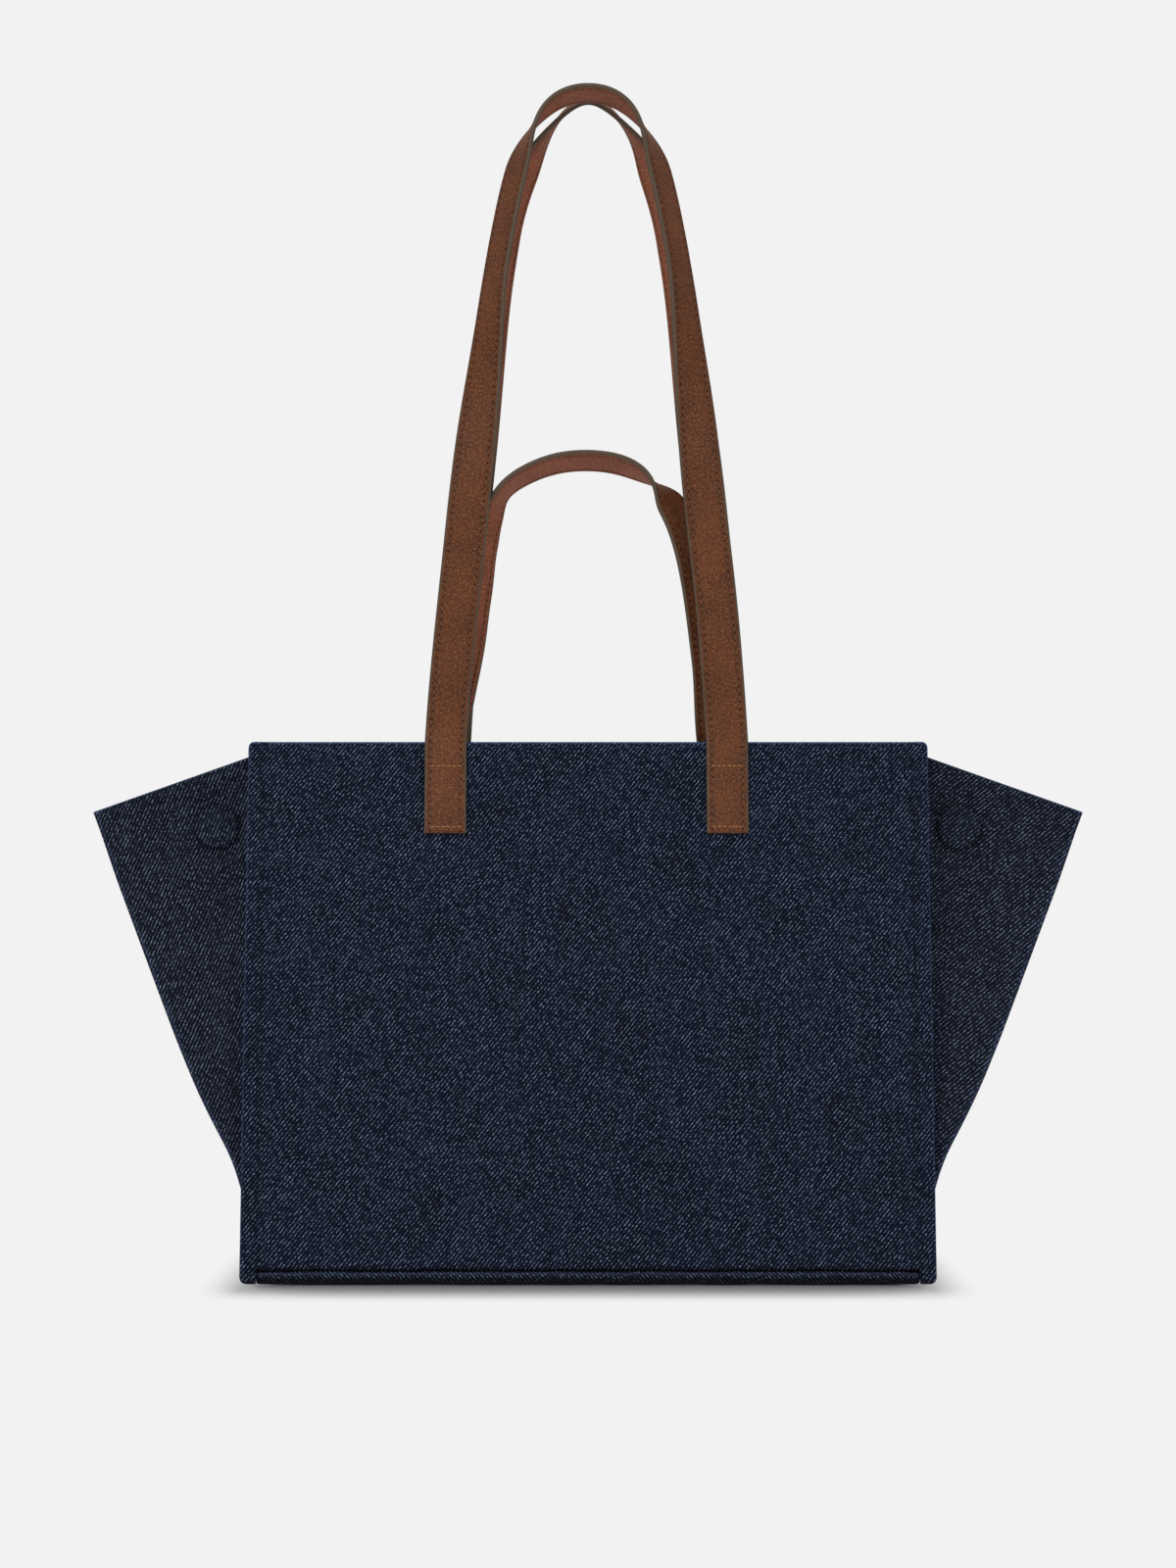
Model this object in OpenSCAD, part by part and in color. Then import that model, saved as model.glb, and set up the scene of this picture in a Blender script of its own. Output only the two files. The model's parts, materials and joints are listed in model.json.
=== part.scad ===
// Trapeze bag: two stiff denim panels lean in towards each other over a flat base. Each side gusset is
// folded outwards into a wing, held shut by a pair of magnets. Two long leather straps are sewn to the
// outsides of the panels, and one short handle stands between them.
// Millimetres. X to the wearer's right in the front view, Y to the back, Z up. The floor is z = 0.

/* [Bag body] */
// Width of the front and back panels
panel_w = 356; // [300:1:420]
// Height of a panel, measured up its own slope
panel_h = 280; // [240:1:320]
// Depth of the base from the front panel's face to the back panel's
base_d = 155; // [135:1:175]
// Half of the distance between the panels' outer faces at the mouth
mouth_half = 12; // [10:0.5:16]
// Height of the base and of the rolled strips along its edges
base_h = 7.5; // [6:0.5:10]
// Radius of a panel's top corners
corner_r = 3; // [1:0.5:6]
// How far a panel reaches past the gusset seam
panel_lip = 9; // [6:0.5:14]

/* [Cloth and board] */
// Thickness of the panel denim
denim_t = 1.2; // [0.8:0.1:1.6]
// Thickness of the panel boards
board_t = 1.6; // [1:0.1:2.4]
// Thickness of the base board
base_board_t = 2.4; // [1.6:0.2:3.2]
// Thickness of the lining and of the denim facing inside the mouth
lining_t = 0.6; // [0.4:0.1:1]
// Height of the denim facing inside the mouth
facing_h = 36; // [24:1:60]
// Thickness of the gusset denim
gusset_t = 1.0; // [0.6:0.1:1.4]
// Thickness of the gusset lining
gusset_lining_t = 0.4; // [0.3:0.1:0.6]

/* [Wings] */
// How far a wing's tip stands out from the gusset seam
wing_reach = 90.6; // [60:0.1:110]
// How far a wing's tip lies below the panel's top edge
wing_fall = 37.7; // [25:0.1:60]
// How far below the panel's top edge the wing's top edge starts
wing_drop = 8; // [4:0.5:16]
// Half of the cloth gap at the folded tip
fold_half = 2; // [1.5:0.1:3]
// Diameter of a magnet
magnet_d = 18; // [12:1:22]
// Thickness of a magnet
magnet_t = 2; // [1:0.1:2.4]
// How far a magnet lies outside the gusset seam
magnet_out = 26; // [20:1:36]
// How far the magnets lie below the wing's tip
magnet_drop = 7; // [4:0.5:16]
// Thickness of the cloth over a magnet
magnet_cover_t = 0.3; // [0.2:0.05:0.5]

/* [Straps] */
// Width of the straps and of the short handle
strap_w = 22; // [16:0.5:28]
// Thickness of the outer leather
leather_t = 1.4; // [1:0.1:2]
// Thickness of the backing leather
backing_t = 1.2; // [0.8:0.1:1.8]
// Distance from the bag's middle to a long strap's end, centre to centre
strap_x = 72.9; // [60:0.1:90]
// Length of a long strap's sewn end below the panel's top edge
sewn_end = 46.5; // [36:0.5:60]
// Depth of the cross stitch, where a long strap bends, below the panel's top edge
strap_bend = 14; // [10:0.5:20]
// Height of the front strap's loop above the panel's top edge
front_loop_h = 339; // [280:1:380]
// Height of the rear strap's loop above the panel's top edge
rear_loop_h = 331; // [270:1:372]
// Height of the arch at the top of the front strap's loop
front_arch_h = 39; // [30:1:60]
// Height of the arch at the top of the rear strap's loop
rear_arch_h = 41; // [30:1:60]
// Tilt of a long strap at the top of its loop
loop_tilt = 14.5; // [0:0.5:20]

/* [Short handle] */
// Distance from the handle's middle to its end, centre to centre
handle_x = 71.6; // [60:0.1:85]
// How far the handle sits to the left of the bag's middle
handle_left = 3; // [0:0.5:6]
// Height of the handle's loop above the panel's top edge
handle_loop_h = 149; // [110:1:170]
// Tilt of the handle at the top of its loop
handle_tilt = 17; // [0:0.5:20]

/* [Pocket] */
// Width of the slip pocket inside the back
pocket_w = 180; // [120:1:240]
// Height of the slip pocket
pocket_h = 110; // [80:1:150]
// Distance from the handle's ends, or the facing if that is lower, down to the pocket's top
pocket_drop = 3; // [2:1:20]

/* [Clearances] */
// Gap at a seam that bends
seam_gap = 0.6; // [0.4:0.1:0.9]
// Gap between a strap and the cloth that it lies on
lie_gap = 0.2; // [0.1:0.05:0.4]
// Slit where a strap bends
bend_gap = 0.3; // [0.2:0.05:0.5]
// Gap between the side gusset and the base or a panel
gusset_gap = 0.4; // [0.3:0.1:0.8]

/* [Hidden] */
$fn = 48;
DENIM = "#25335a";
DENIM_DARK = "#1c2540";
LINING = "#2b2e38";
BOARD = "#b9a98a";
LEATHER = "#6b412a";
BACKING = "#7d5040";
STEEL = "#b8bcc2";

// The panels' slope, from the base's depth and the mouth's width
lean = asin((base_d / 2 - mouth_half) / panel_h);
panel_t = denim_t + board_t + lining_t;
strap_t = leather_t + backing_t;
seam_x = panel_w / 2 - panel_lip;
wing_tip_z = base_h + panel_h * cos(lean) - wing_fall;
magnet_z = wing_tip_z - magnet_drop;
gusset_full_t = gusset_t + gusset_lining_t;
// The rolled strips stay this much lower than the panels
roll_gap = 0.3;
roll_r = (base_h - roll_gap) / 2;
tray_gap = 0.1;
tray_half = base_d / 2 - 2 * roll_r - tray_gap;
tray_top = denim_t + base_board_t + gusset_lining_t;
// Gap beside the panels' corner ears, their height above the floor and their radius
ear_gap = 0.5;
ear_floor_gap = 1;
ear_r = 3.5;
SWEEP_STEPS = 22;

// A point on a panel's slope, for side -1 at the front and 1 at the back: in is the distance inwards from
// the outer face, and up the distance along the slope
function on_panel(side, in, up) = [
    side * (base_d / 2 - up * sin(lean) - in * cos(lean)),
    base_h + up * cos(lean) - in * sin(lean)
];
function unit(v) = v / norm(v);
function mix(a, b, t) = a + (b - a) * t;
function ease(t) = let (c = min(1, max(0, t))) c * c * (3 - 2 * c);
function bezier(a, b, c, d, t) =
    pow(1 - t, 3) * a + 3 * pow(1 - t, 2) * t * b + 3 * (1 - t) * t * t * c + t * t * t * d;

// Children drawn in a panel's own frame, x across, y inwards from its outer face and z up the slope
module in_front() {
    translate([0, -base_d / 2, base_h]) rotate([-lean, 0, 0]) children();
}
module in_back() {
    mirror([0, 1, 0]) in_front() children();
}

// A panel's outline, upright, thick inwards from y0 to y1, smaller all round by inset
module panel_slab(y0, y1, inset, bottom) {
    w = panel_w - 2 * inset;
    r = max(0.5, corner_r - inset);
    top = panel_h - inset;
    translate([0, y1, 0]) rotate([90, 0, 0]) linear_extrude(height = y1 - y0) {
        translate([-w / 2, bottom]) square([w, top - r - bottom]);
        translate([-w / 2 + r, bottom]) square([w - 2 * r, top - bottom]);
        for (s = [-1, 1]) translate([s * (w / 2 - r), top - r]) circle(r);
    }
}

// The rounded corners that reach down past the base's ends
module panel_ears() {
    w = panel_lip - ear_gap;
    drop = base_h - ear_floor_gap;
    r = min(ear_r, w / 2 - 0.5, drop - 1);
    for (s = [-1, 1]) translate([s * (panel_w / 2 - w / 2), panel_t, 0]) rotate([90, 0, 0])
        linear_extrude(height = panel_t) {
            translate([-w / 2, -drop + r]) square([w, drop - r + seam_gap]);
            translate([-w / 2 + r, -drop]) square([w - 2 * r, r]);
            for (e = [-1, 1]) translate([e * (w / 2 - r), -drop + r]) circle(r);
        }
}

module panel_shell() {
    difference() {
        panel_slab(0, denim_t + board_t, 0, seam_gap);
        panel_slab(denim_t, panel_t, denim_t, seam_gap + denim_t);
    }
    lip = panel_lip - ear_gap;
    for (s = [-1, 1]) translate([s * (panel_w / 2 - lip / 2) - lip / 2, denim_t + board_t, seam_gap])
        cube([lip, lining_t, panel_h - corner_r - seam_gap]);
    panel_ears();
}

module panel_board() {
    inset = denim_t + lie_gap;
    panel_slab(denim_t, denim_t + board_t, inset, seam_gap + inset);
}

module panel_lining() {
    w = 2 * (seam_x - lie_gap);
    translate([-w / 2, denim_t + board_t, 2 * seam_gap])
        cube([w, lining_t, panel_h - facing_h - 2 * seam_gap]);
}

module panel_facing() {
    w = 2 * (seam_x - lie_gap);
    translate([-w / 2, denim_t + board_t, panel_h - facing_h]) cube([w, lining_t, facing_h]);
}

module pocket() {
    top = panel_h - max(facing_h, sewn_end) - pocket_drop;
    translate([-pocket_w / 2, panel_t, top - pocket_h])
        cube([pocket_w, lining_t, pocket_h]);
}

// Both sewn ends of a strap: from the bend down, between two depths from the panel's outer face
module strap_ends(y0, y1) {
    for (s = [-1, 1]) translate([s * strap_x - strap_w / 2, y0, panel_h - sewn_end])
        cube([strap_w, y1 - y0, sewn_end - strap_bend - bend_gap / 2]);
}

// A band swept along half loops. Each station is [centre, width direction], and the outward side of the
// band is found from its own run. from and to are distances outwards from the band's middle
function station_run(st, i) = unit(
    st[min(i + 1, len(st) - 1)][0] - st[max(i - 1, 0)][0]);
function ring(st, i, from, to) = let (
        run = station_run(st, i),
        level = (i == 0 || i == len(st) - 1),
        w0 = st[i][1],
        w = level ? w0 : unit(w0 - (w0 * run) * run),
        n = unit(cross(w, run)),
        half = strap_w / 2,
        p = st[i][0]
    ) [p - half * w + from * n, p + half * w + from * n, p + half * w + to * n, p - half * w + to * n];
module band(st, from, to) {
    n = len(st);
    points = [for (i = [0:n - 1]) each ring(st, i, from, to)];
    // Opposite faces are split along the same diagonal, so that two bands laid on each other touch
    sides = [for (i = [0:n - 2]) for (k = [0:3])
        let (a = 4 * i + k, b = 4 * i + (k + 1) % 4, c = b + 4, d = a + 4)
        each (k == 2 ? [[a, b, d], [b, c, d]] : [[a, b, c], [a, c, d]])];
    ends = [[0, 3, 2], [0, 2, 1],
        [4 * n - 4, 4 * n - 3, 4 * n - 2], [4 * n - 4, 4 * n - 2, 4 * n - 1]];
    polyhedron(points, concat(sides, ends), convexity = 8);
}

// A long strap's half outline: a leg that bends in a little, then an arch to the top of the loop
leg_start = 6;
leg_slope = 0.06;
function leg_x(h, bow) = strap_x - leg_slope * h - bow * h * h;
function loop_half(top, bow, arch, reach, t) = t < 0.5
    ? let (h = mix(leg_start, arch, 2 * t)) [leg_x(h, bow), h]
    : let (u = 2 * t - 1, x0 = leg_x(arch, bow), rise = 0.5 * (top - arch),
        slope = leg_slope + 2 * bow * arch)
        [bezier(x0, x0 - slope * rise, reach, 0, u), bezier(arch, arch + rise, top, top, u)];
// A band turns from facing the front, at its foot, to edge on at its top. Each stage of the turn is the
// share of the height where it starts, where it ends, and its share of the quarter turn
STRAP_STAGES = [[0, 0.5, 0.22], [0.3, 0.8, 0.30], [0.72, 1, 0.48]];
HANDLE_STAGES = [[0, 0.5, 0.42], [0.35, 1, 0.58]];
function turn_at(k, stages) = let (parts = [for (s = stages) ease((k - s[0]) / (s[1] - s[0]))])
    90 * ([for (s = stages) s[2]] * parts);
// How far the middle of a long strap stands in front of the bag's middle, at height h: it follows the
// panel's slope for a little way and then curves upright
strap_out = lie_gap + strap_t / 2;
strap_y0 = mouth_half + strap_out * cos(lean);
slope_run = 3;
curve_r = 30;
function strap_y(h) = let (b = curve_r * sin(lean), c = min(1, max(0, (h - slope_run) / b)))
    strap_y0 - min(h, slope_run) * tan(lean) - tan(lean) * b * (c - c * c / 2);

// Stations of a long strap from its left bend over the top to its right bend, for side -1 or 1
function long_strap(side, top, bow, arch, reach) = let (
        base = [for (up = [-strap_bend + bend_gap / 2, -strap_bend / 2, 0])
            let (q = on_panel(side, -strap_out, panel_h + up)) [strap_x, q[0], q[1]]],
        z0 = on_panel(side, -strap_out, panel_h)[1],
        left = concat(
            [for (p = base) [[-p[0], p[1], p[2]], [1, 0, 0]]],
            [for (i = [0:SWEEP_STEPS]) let (t = i / SWEEP_STEPS, q = loop_half(top, bow, arch, reach, t),
                a = turn_at(q[1] / top, STRAP_STAGES)) [[-q[0], side * strap_y(q[1]), z0 + q[1]],
                [cos(a), side * sin(a) * cos(loop_tilt), sin(a) * sin(loop_tilt)]]])
    ) concat(left, [for (i = [len(left) - 2:-1:0]) let (s = left[i])
        [[-s[0][0], s[0][1], s[0][2]], [-s[1][0], s[1][1], s[1][2]]]]);
// How much each leg curves inwards on its way up, and how far out its arch is flat at the top
front_bow = 0.00019;
rear_bow = 0.00022;
front_flat = 20;
rear_flat = 15;
front_run = long_strap(-1, front_loop_h, front_bow, front_loop_h - front_arch_h, front_flat);
rear_run = long_strap(1, rear_loop_h, rear_bow, rear_loop_h - rear_arch_h, rear_flat);

// Stations of the short handle. Its front edge is the left one on both legs, so the left leg shows its
// inner face to the front and the right leg its outer face. Its arch is set by shares of its half width,
// where the legs and the top bend, and of its height
HANDLE_BENDS = [0.866, 0.726, 0.62];
function handle_half(t) = [
    bezier(handle_x, HANDLE_BENDS[0] * handle_x, HANDLE_BENDS[1] * handle_x, 0, t),
    bezier(0, HANDLE_BENDS[2] * handle_loop_h, handle_loop_h, handle_loop_h, t)
];
handle_in = panel_t + strap_t / 2;
handle_foot = on_panel(1, handle_in, panel_h);
function handle_y(h) = let (run = 2 * handle_foot[0] / tan(lean), c = min(h, run) / run)
    handle_foot[0] * (1 - 2 * c + c * c);
function handle_run() = let (
        left = concat(
            [let (q = on_panel(1, handle_in, panel_h + bend_gap)) [[-handle_x, q[0], q[1]], [-1, 0, 0]]],
            [for (i = [1:SWEEP_STEPS]) let (q = handle_half(i / SWEEP_STEPS),
                a = turn_at(q[1] / handle_loop_h, HANDLE_STAGES))
                [[-q[0], handle_y(q[1]), handle_foot[1] + q[1]],
                [-cos(a), -sin(a) * cos(handle_tilt), sin(a) * sin(handle_tilt)]]])
    ) concat(left, [for (i = [len(left) - 2:-1:0]) let (s = left[i])
        [[-s[0][0], s[0][1], s[0][2]], s[1]]]);

// The gusset's side leaf, between the panel's seam and the fold, dished to the magnet. off is its depth
// behind the outer face and thick its own thickness
seam_start = 2;
seam_low = on_panel(-1, panel_t + gusset_gap, seam_start);
seam_high = on_panel(-1, panel_t + gusset_gap, panel_h - wing_drop);
// Half of the gap between two closed magnets, and the rim of cloth sewn down around a magnet
magnet_half_gap = 0.25;
magnet_rim = 2.5;
magnet_back = magnet_cover_t + magnet_half_gap + magnet_t;
module side_leaf(off, thick) {
    outer = [
        [-seam_x, seam_low[0], seam_low[1]],
        [-seam_x, seam_high[0], seam_high[1]],
        [-seam_x - wing_reach, -fold_half - gusset_full_t, wing_tip_z],
        [-seam_x - magnet_out, -magnet_back - lie_gap - gusset_full_t, magnet_z]
    ];
    points = concat([for (p = outer) p + [0, off, 0]], [for (p = outer) p + [0, off + thick, 0]]);
    polyhedron(points, [
        [0, 1, 3], [1, 2, 3], [2, 0, 3],
        [5, 4, 7], [6, 5, 7], [4, 6, 7],
        [1, 0, 4], [1, 4, 5], [2, 1, 5], [2, 5, 6], [0, 2, 6], [0, 6, 4]
    ], convexity = 4);
}

// The gusset's end leaf, a triangle from the base's end up to just under the fold's tip, which is
// reached by tip_share of the way, blunt by tip_half and set back by tip_half from the side leaves
end_low_z = tray_top + gusset_gap;
tip_share = 0.985;
tip_half = 1;
module end_leaf(off, thick) {
    half = tray_half - gusset_gap;
    tip_x = -seam_x - wing_reach * tip_share + tip_half;
    tip_z = mix(end_low_z, wing_tip_z, tip_share);
    points = [for (dx = [off, off + thick]) each [
        [-seam_x + dx, -half, end_low_z], [-seam_x + dx, half, end_low_z],
        [tip_x + dx, tip_half, tip_z], [tip_x + dx, -tip_half, tip_z]
    ]];
    polyhedron(points, [
        [0, 1, 2], [0, 2, 3], [5, 4, 6], [6, 4, 7],
        [1, 0, 4], [1, 4, 5], [2, 1, 5], [2, 5, 6], [3, 2, 6], [3, 6, 7], [0, 3, 7], [0, 7, 4]
    ], convexity = 2);
}

// A disc in a wing, facing the middle, between two depths in front of the bag's middle
module wing_disc(d, y0, y1) {
    translate([-seam_x - magnet_out, y1, magnet_z]) rotate([90, 0, 0]) cylinder(d = d, h = y1 - y0);
}

// A flat piece in the base, smaller all round than the base's own outline by inset
module base_sheet(inset, z0, z1) {
    translate([inset - seam_x, inset - tray_half, z0])
        cube([2 * (seam_x - inset), 2 * (tray_half - inset), z1 - z0]);
}
base_inset = denim_t + lie_gap;
base_board_top = denim_t + base_board_t;
module base_cover() {
    color(DENIM_DARK) difference() {
        base_sheet(0, 0, tray_top);
        base_sheet(denim_t, denim_t, tray_top + 1);
    }
}
module base_board() { color(BOARD) base_sheet(base_inset, denim_t, base_board_top); }
module base_lining() { color(LINING) base_sheet(base_inset, base_board_top, tray_top); }
module base_roll() {
    translate([-seam_x, -base_d / 2 + roll_r, roll_r]) rotate([0, 90, 0])
        cylinder(r = roll_r, h = 2 * seam_x);
}
module front_base_roll() { color(DENIM_DARK) base_roll(); }
module rear_base_roll() { color(DENIM_DARK) mirror([0, 1, 0]) base_roll(); }

module front_panel() { color(DENIM) in_front() panel_shell(); }
module front_board() { color(BOARD) in_front() panel_board(); }
module front_lining() { color(LINING) in_front() panel_lining(); }
module front_facing() { color(DENIM) in_front() panel_facing(); }
module back_panel() { color(DENIM) in_back() panel_shell(); }
module back_board() { color(BOARD) in_back() panel_board(); }
module back_lining() { color(LINING) in_back() panel_lining(); }
module back_facing() { color(DENIM) in_back() panel_facing(); }
module inner_pocket() { color(LINING) in_back() pocket(); }

module front_strap_ends() { color(LEATHER) in_front() strap_ends(-strap_t, -backing_t); }
module front_strap_end_backings() { color(BACKING) in_front() strap_ends(-backing_t, 0); }
module front_strap() { color(LEATHER) band(front_run, backing_t - strap_t / 2, strap_t / 2); }
module front_strap_backing() { color(BACKING) band(front_run, -strap_t / 2, backing_t - strap_t / 2); }
module rear_strap_ends() { color(LEATHER) in_back() strap_ends(-strap_t, -backing_t); }
module rear_strap_end_backings() { color(BACKING) in_back() strap_ends(-backing_t, 0); }
// The rear run goes the same way as the front one, so its outer leather lies on the other side
module rear_strap() { color(LEATHER) band(rear_run, -strap_t / 2, leather_t - strap_t / 2); }
module rear_strap_backing() { color(BACKING) band(rear_run, leather_t - strap_t / 2, strap_t / 2); }

// The handle is turned half over between its ends, so its left end lies with the outer leather on the
// facing and its right end with the backing on it
module one_handle_end(s, y0, y1) {
    translate([s * handle_x - handle_left - strap_w / 2, y0, panel_h - sewn_end])
        cube([strap_w, y1 - y0, sewn_end]);
}
module handle_ends() {
    color(LEATHER) in_back() {
        one_handle_end(-1, panel_t, panel_t + leather_t);
        one_handle_end(1, panel_t + backing_t, panel_t + strap_t);
    }
}
module handle_end_backings() {
    color(BACKING) in_back() {
        one_handle_end(-1, panel_t + leather_t, panel_t + strap_t);
        one_handle_end(1, panel_t, panel_t + backing_t);
    }
}
module short_handle() {
    color(LEATHER) translate([-handle_left, 0, 0]) band(handle_run(), backing_t - strap_t / 2, strap_t / 2);
}
module short_handle_backing() {
    color(BACKING) translate([-handle_left, 0, 0]) band(handle_run(), -strap_t / 2, backing_t - strap_t / 2);
}

// A left front piece, put where it is wanted: to the right with x = 1 and to the rear with y = 1
module wing_at(x, y) {
    mirror([x, 0, 0]) mirror([0, y, 0]) children();
}
module left_gusset_end() { color(DENIM_DARK) end_leaf(0, gusset_t); }
module left_gusset_end_lining() { color(LINING) end_leaf(gusset_t, gusset_lining_t); }
module right_gusset_end() { wing_at(1, 0) left_gusset_end(); }
module right_gusset_end_lining() { wing_at(1, 0) left_gusset_end_lining(); }
module left_front_gusset() { color(DENIM_DARK) side_leaf(0, gusset_t); }
module left_rear_gusset() { wing_at(0, 1) left_front_gusset(); }
module right_front_gusset() { wing_at(1, 0) left_front_gusset(); }
module right_rear_gusset() { wing_at(1, 1) left_front_gusset(); }
module left_front_gusset_lining() { color(LINING) side_leaf(gusset_t, gusset_lining_t); }
module left_rear_gusset_lining() { wing_at(0, 1) left_front_gusset_lining(); }
module right_front_gusset_lining() { wing_at(1, 0) left_front_gusset_lining(); }
module right_rear_gusset_lining() { wing_at(1, 1) left_front_gusset_lining(); }
module left_front_magnet() { color(STEEL) wing_disc(magnet_d, -magnet_back, -magnet_back + magnet_t); }
module left_rear_magnet() { wing_at(0, 1) left_front_magnet(); }
module right_front_magnet() { wing_at(1, 0) left_front_magnet(); }
module right_rear_magnet() { wing_at(1, 1) left_front_magnet(); }
module left_front_magnet_cover() {
    color(LINING) wing_disc(magnet_d + 2 * magnet_rim, -magnet_back + magnet_t, -magnet_half_gap);
}
module left_rear_magnet_cover() { wing_at(0, 1) left_front_magnet_cover(); }
module right_front_magnet_cover() { wing_at(1, 0) left_front_magnet_cover(); }
module right_rear_magnet_cover() { wing_at(1, 1) left_front_magnet_cover(); }

base_cover();
base_board();
base_lining();
front_base_roll();
rear_base_roll();
front_panel();
front_board();
front_lining();
front_facing();
back_panel();
back_board();
back_lining();
back_facing();
inner_pocket();
front_strap_ends();
front_strap_end_backings();
front_strap();
front_strap_backing();
rear_strap_ends();
rear_strap_end_backings();
rear_strap();
rear_strap_backing();
handle_ends();
handle_end_backings();
short_handle();
short_handle_backing();
left_gusset_end();
left_gusset_end_lining();
right_gusset_end();
right_gusset_end_lining();
left_front_gusset();
left_rear_gusset();
right_front_gusset();
right_rear_gusset();
left_front_gusset_lining();
left_rear_gusset_lining();
right_front_gusset_lining();
right_rear_gusset_lining();
left_front_magnet();
left_rear_magnet();
right_front_magnet();
right_rear_magnet();
left_front_magnet_cover();
left_rear_magnet_cover();
right_front_magnet_cover();
right_rear_magnet_cover();
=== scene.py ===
# %% [markdown]
# # A trapeze bag in dark denim and brown leather
#
# The bag has two stiff denim panels that lean in over a flat base. Its side gussets are folded out into
# wings, and magnets under the cloth hold them shut. Two long leather straps and a short handle carry it.
# The CAD model gives every place and every hinge. Here each soft piece gets its cloth, leather and thread.

# %% Load the frame
import json
import math
import bmesh
import bpy
import numpy as np
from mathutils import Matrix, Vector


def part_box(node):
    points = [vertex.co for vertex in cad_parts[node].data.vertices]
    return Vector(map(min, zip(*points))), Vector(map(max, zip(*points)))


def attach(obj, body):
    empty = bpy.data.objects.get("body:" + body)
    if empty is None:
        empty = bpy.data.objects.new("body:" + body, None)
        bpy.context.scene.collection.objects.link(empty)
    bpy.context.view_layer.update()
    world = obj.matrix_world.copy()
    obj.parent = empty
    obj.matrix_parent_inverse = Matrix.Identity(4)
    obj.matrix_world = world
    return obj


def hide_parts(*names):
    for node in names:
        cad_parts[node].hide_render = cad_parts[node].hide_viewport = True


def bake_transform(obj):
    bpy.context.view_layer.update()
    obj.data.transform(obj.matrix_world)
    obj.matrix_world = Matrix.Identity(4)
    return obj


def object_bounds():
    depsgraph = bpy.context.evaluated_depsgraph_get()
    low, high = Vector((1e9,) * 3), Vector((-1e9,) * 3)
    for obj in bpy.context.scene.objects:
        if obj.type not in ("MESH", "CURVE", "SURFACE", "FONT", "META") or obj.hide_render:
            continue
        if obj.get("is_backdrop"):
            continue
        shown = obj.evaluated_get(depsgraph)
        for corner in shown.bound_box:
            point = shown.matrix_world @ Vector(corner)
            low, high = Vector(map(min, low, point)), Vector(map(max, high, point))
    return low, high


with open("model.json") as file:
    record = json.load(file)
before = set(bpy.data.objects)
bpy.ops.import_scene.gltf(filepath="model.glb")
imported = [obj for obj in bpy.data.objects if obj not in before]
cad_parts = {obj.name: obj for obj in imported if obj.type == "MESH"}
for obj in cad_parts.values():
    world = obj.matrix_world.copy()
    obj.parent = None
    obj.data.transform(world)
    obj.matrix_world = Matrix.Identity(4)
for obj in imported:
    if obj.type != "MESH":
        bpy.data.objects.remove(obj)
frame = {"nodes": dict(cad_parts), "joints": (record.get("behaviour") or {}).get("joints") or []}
cad_box = [list(corner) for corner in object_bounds()]
joints = {joint["name"]: joint for joint in frame["joints"]}

# %% [markdown]
# ## Sizes
#
# Lengths are in millimetres, as a bag maker writes them, and turn to metres when a mesh is made. What the
# frame knows is read from it: the panels' width, the place of the side seams and how far the panels lean.

# %% Driving sizes
MM = 0.001
seam_joint = joints["left_front_seam_turns"]
lean_length = math.hypot(*seam_joint["axis"])
LEAN_SIN = seam_joint["axis"][1] / lean_length
LEAN_COS = seam_joint["axis"][2] / lean_length
SEAM_X = abs(seam_joint["pos_m"][0]) / MM
panel_low, panel_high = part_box("front_panel")
PANEL_W = (panel_high[0] - panel_low[0]) / MM
PANEL_H = 280
BASE_D = 155
BASE_H = 7.5
MOUTH_HALF = 12
PANEL_T = 3.4
LIP_W = 8.5
CORNER_R = 3
EAR_DROP = 6.5
EAR_R = 3.5
EAR_INNER_R = 0.8
SEAM_GAP = 0.6
FACING_H = 36
GUSSET_GAP = 0.4
GUSSET_T = 1.4
WING_REACH = 90.6
WING_TIP_Z = 242
WING_DROP = 4
STRAP_T = 2.6
STRAP_X = 72.9
SEWN_END = 46.5
PATCH_LENGTH = 50
STRAP_BEND = 14
LIE_GAP = 0.2
SIDES = ((-1, "front"), (1, "back"))
CORNERS = [(left_right + "_" + front_rear, left_right == "right", front_rear == "rear")
           for left_right in ("left", "right") for front_rear in ("front", "rear")]
print("panel", round(PANEL_W, 1), "mm wide, lean", round(math.degrees(math.asin(LEAN_SIN)), 2), "degrees")

# %% [markdown]
# ## Small tools
#
# A point on a panel is easiest to give in the panel's own frame: across, inwards from its face, and up its
# slope. One function turns such points to the bag's frame, for the front and the back alike. The others
# are the curves that soft edges, sewn grooves and worn places share.

# %% Points and curves
RIPPLE_WAVES = 7


def xyz(x, y, z):
    """Points from three coordinates, each a number or an array."""
    return np.stack(np.broadcast_arrays(*(np.asarray(v, float) for v in (x, y, z))), axis=-1)


def unit(vectors):
    """The same directions with a length of one."""
    return vectors / np.linalg.norm(vectors, axis=-1, keepdims=True)


def on_side(side, x, inward, up):
    """Points of a panel's own frame in the bag's frame; side is -1 at the front and 1 at the back."""
    x, inward, up = (np.asarray(v, float) for v in (x, inward, up))
    y = side * (BASE_D / 2 - up * LEAN_SIN - inward * LEAN_COS)
    return xyz(x, y, BASE_H + up * LEAN_COS - inward * LEAN_SIN)


def smooth(low, high, value):
    """0 below low, 1 above high, and an even curve between them."""
    t = np.clip((np.asarray(value, float) - low) / (high - low), 0, 1)
    return t * t * (3 - 2 * t)


def hill(distance, width):
    """1 where the distance is nothing, falling softly to 0 on both sides."""
    return np.exp(-(distance / width) ** 2)


def circle(count):
    """The angles of a number of points spaced evenly around a circle."""
    return 2 * np.pi * np.arange(count) / count


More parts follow.
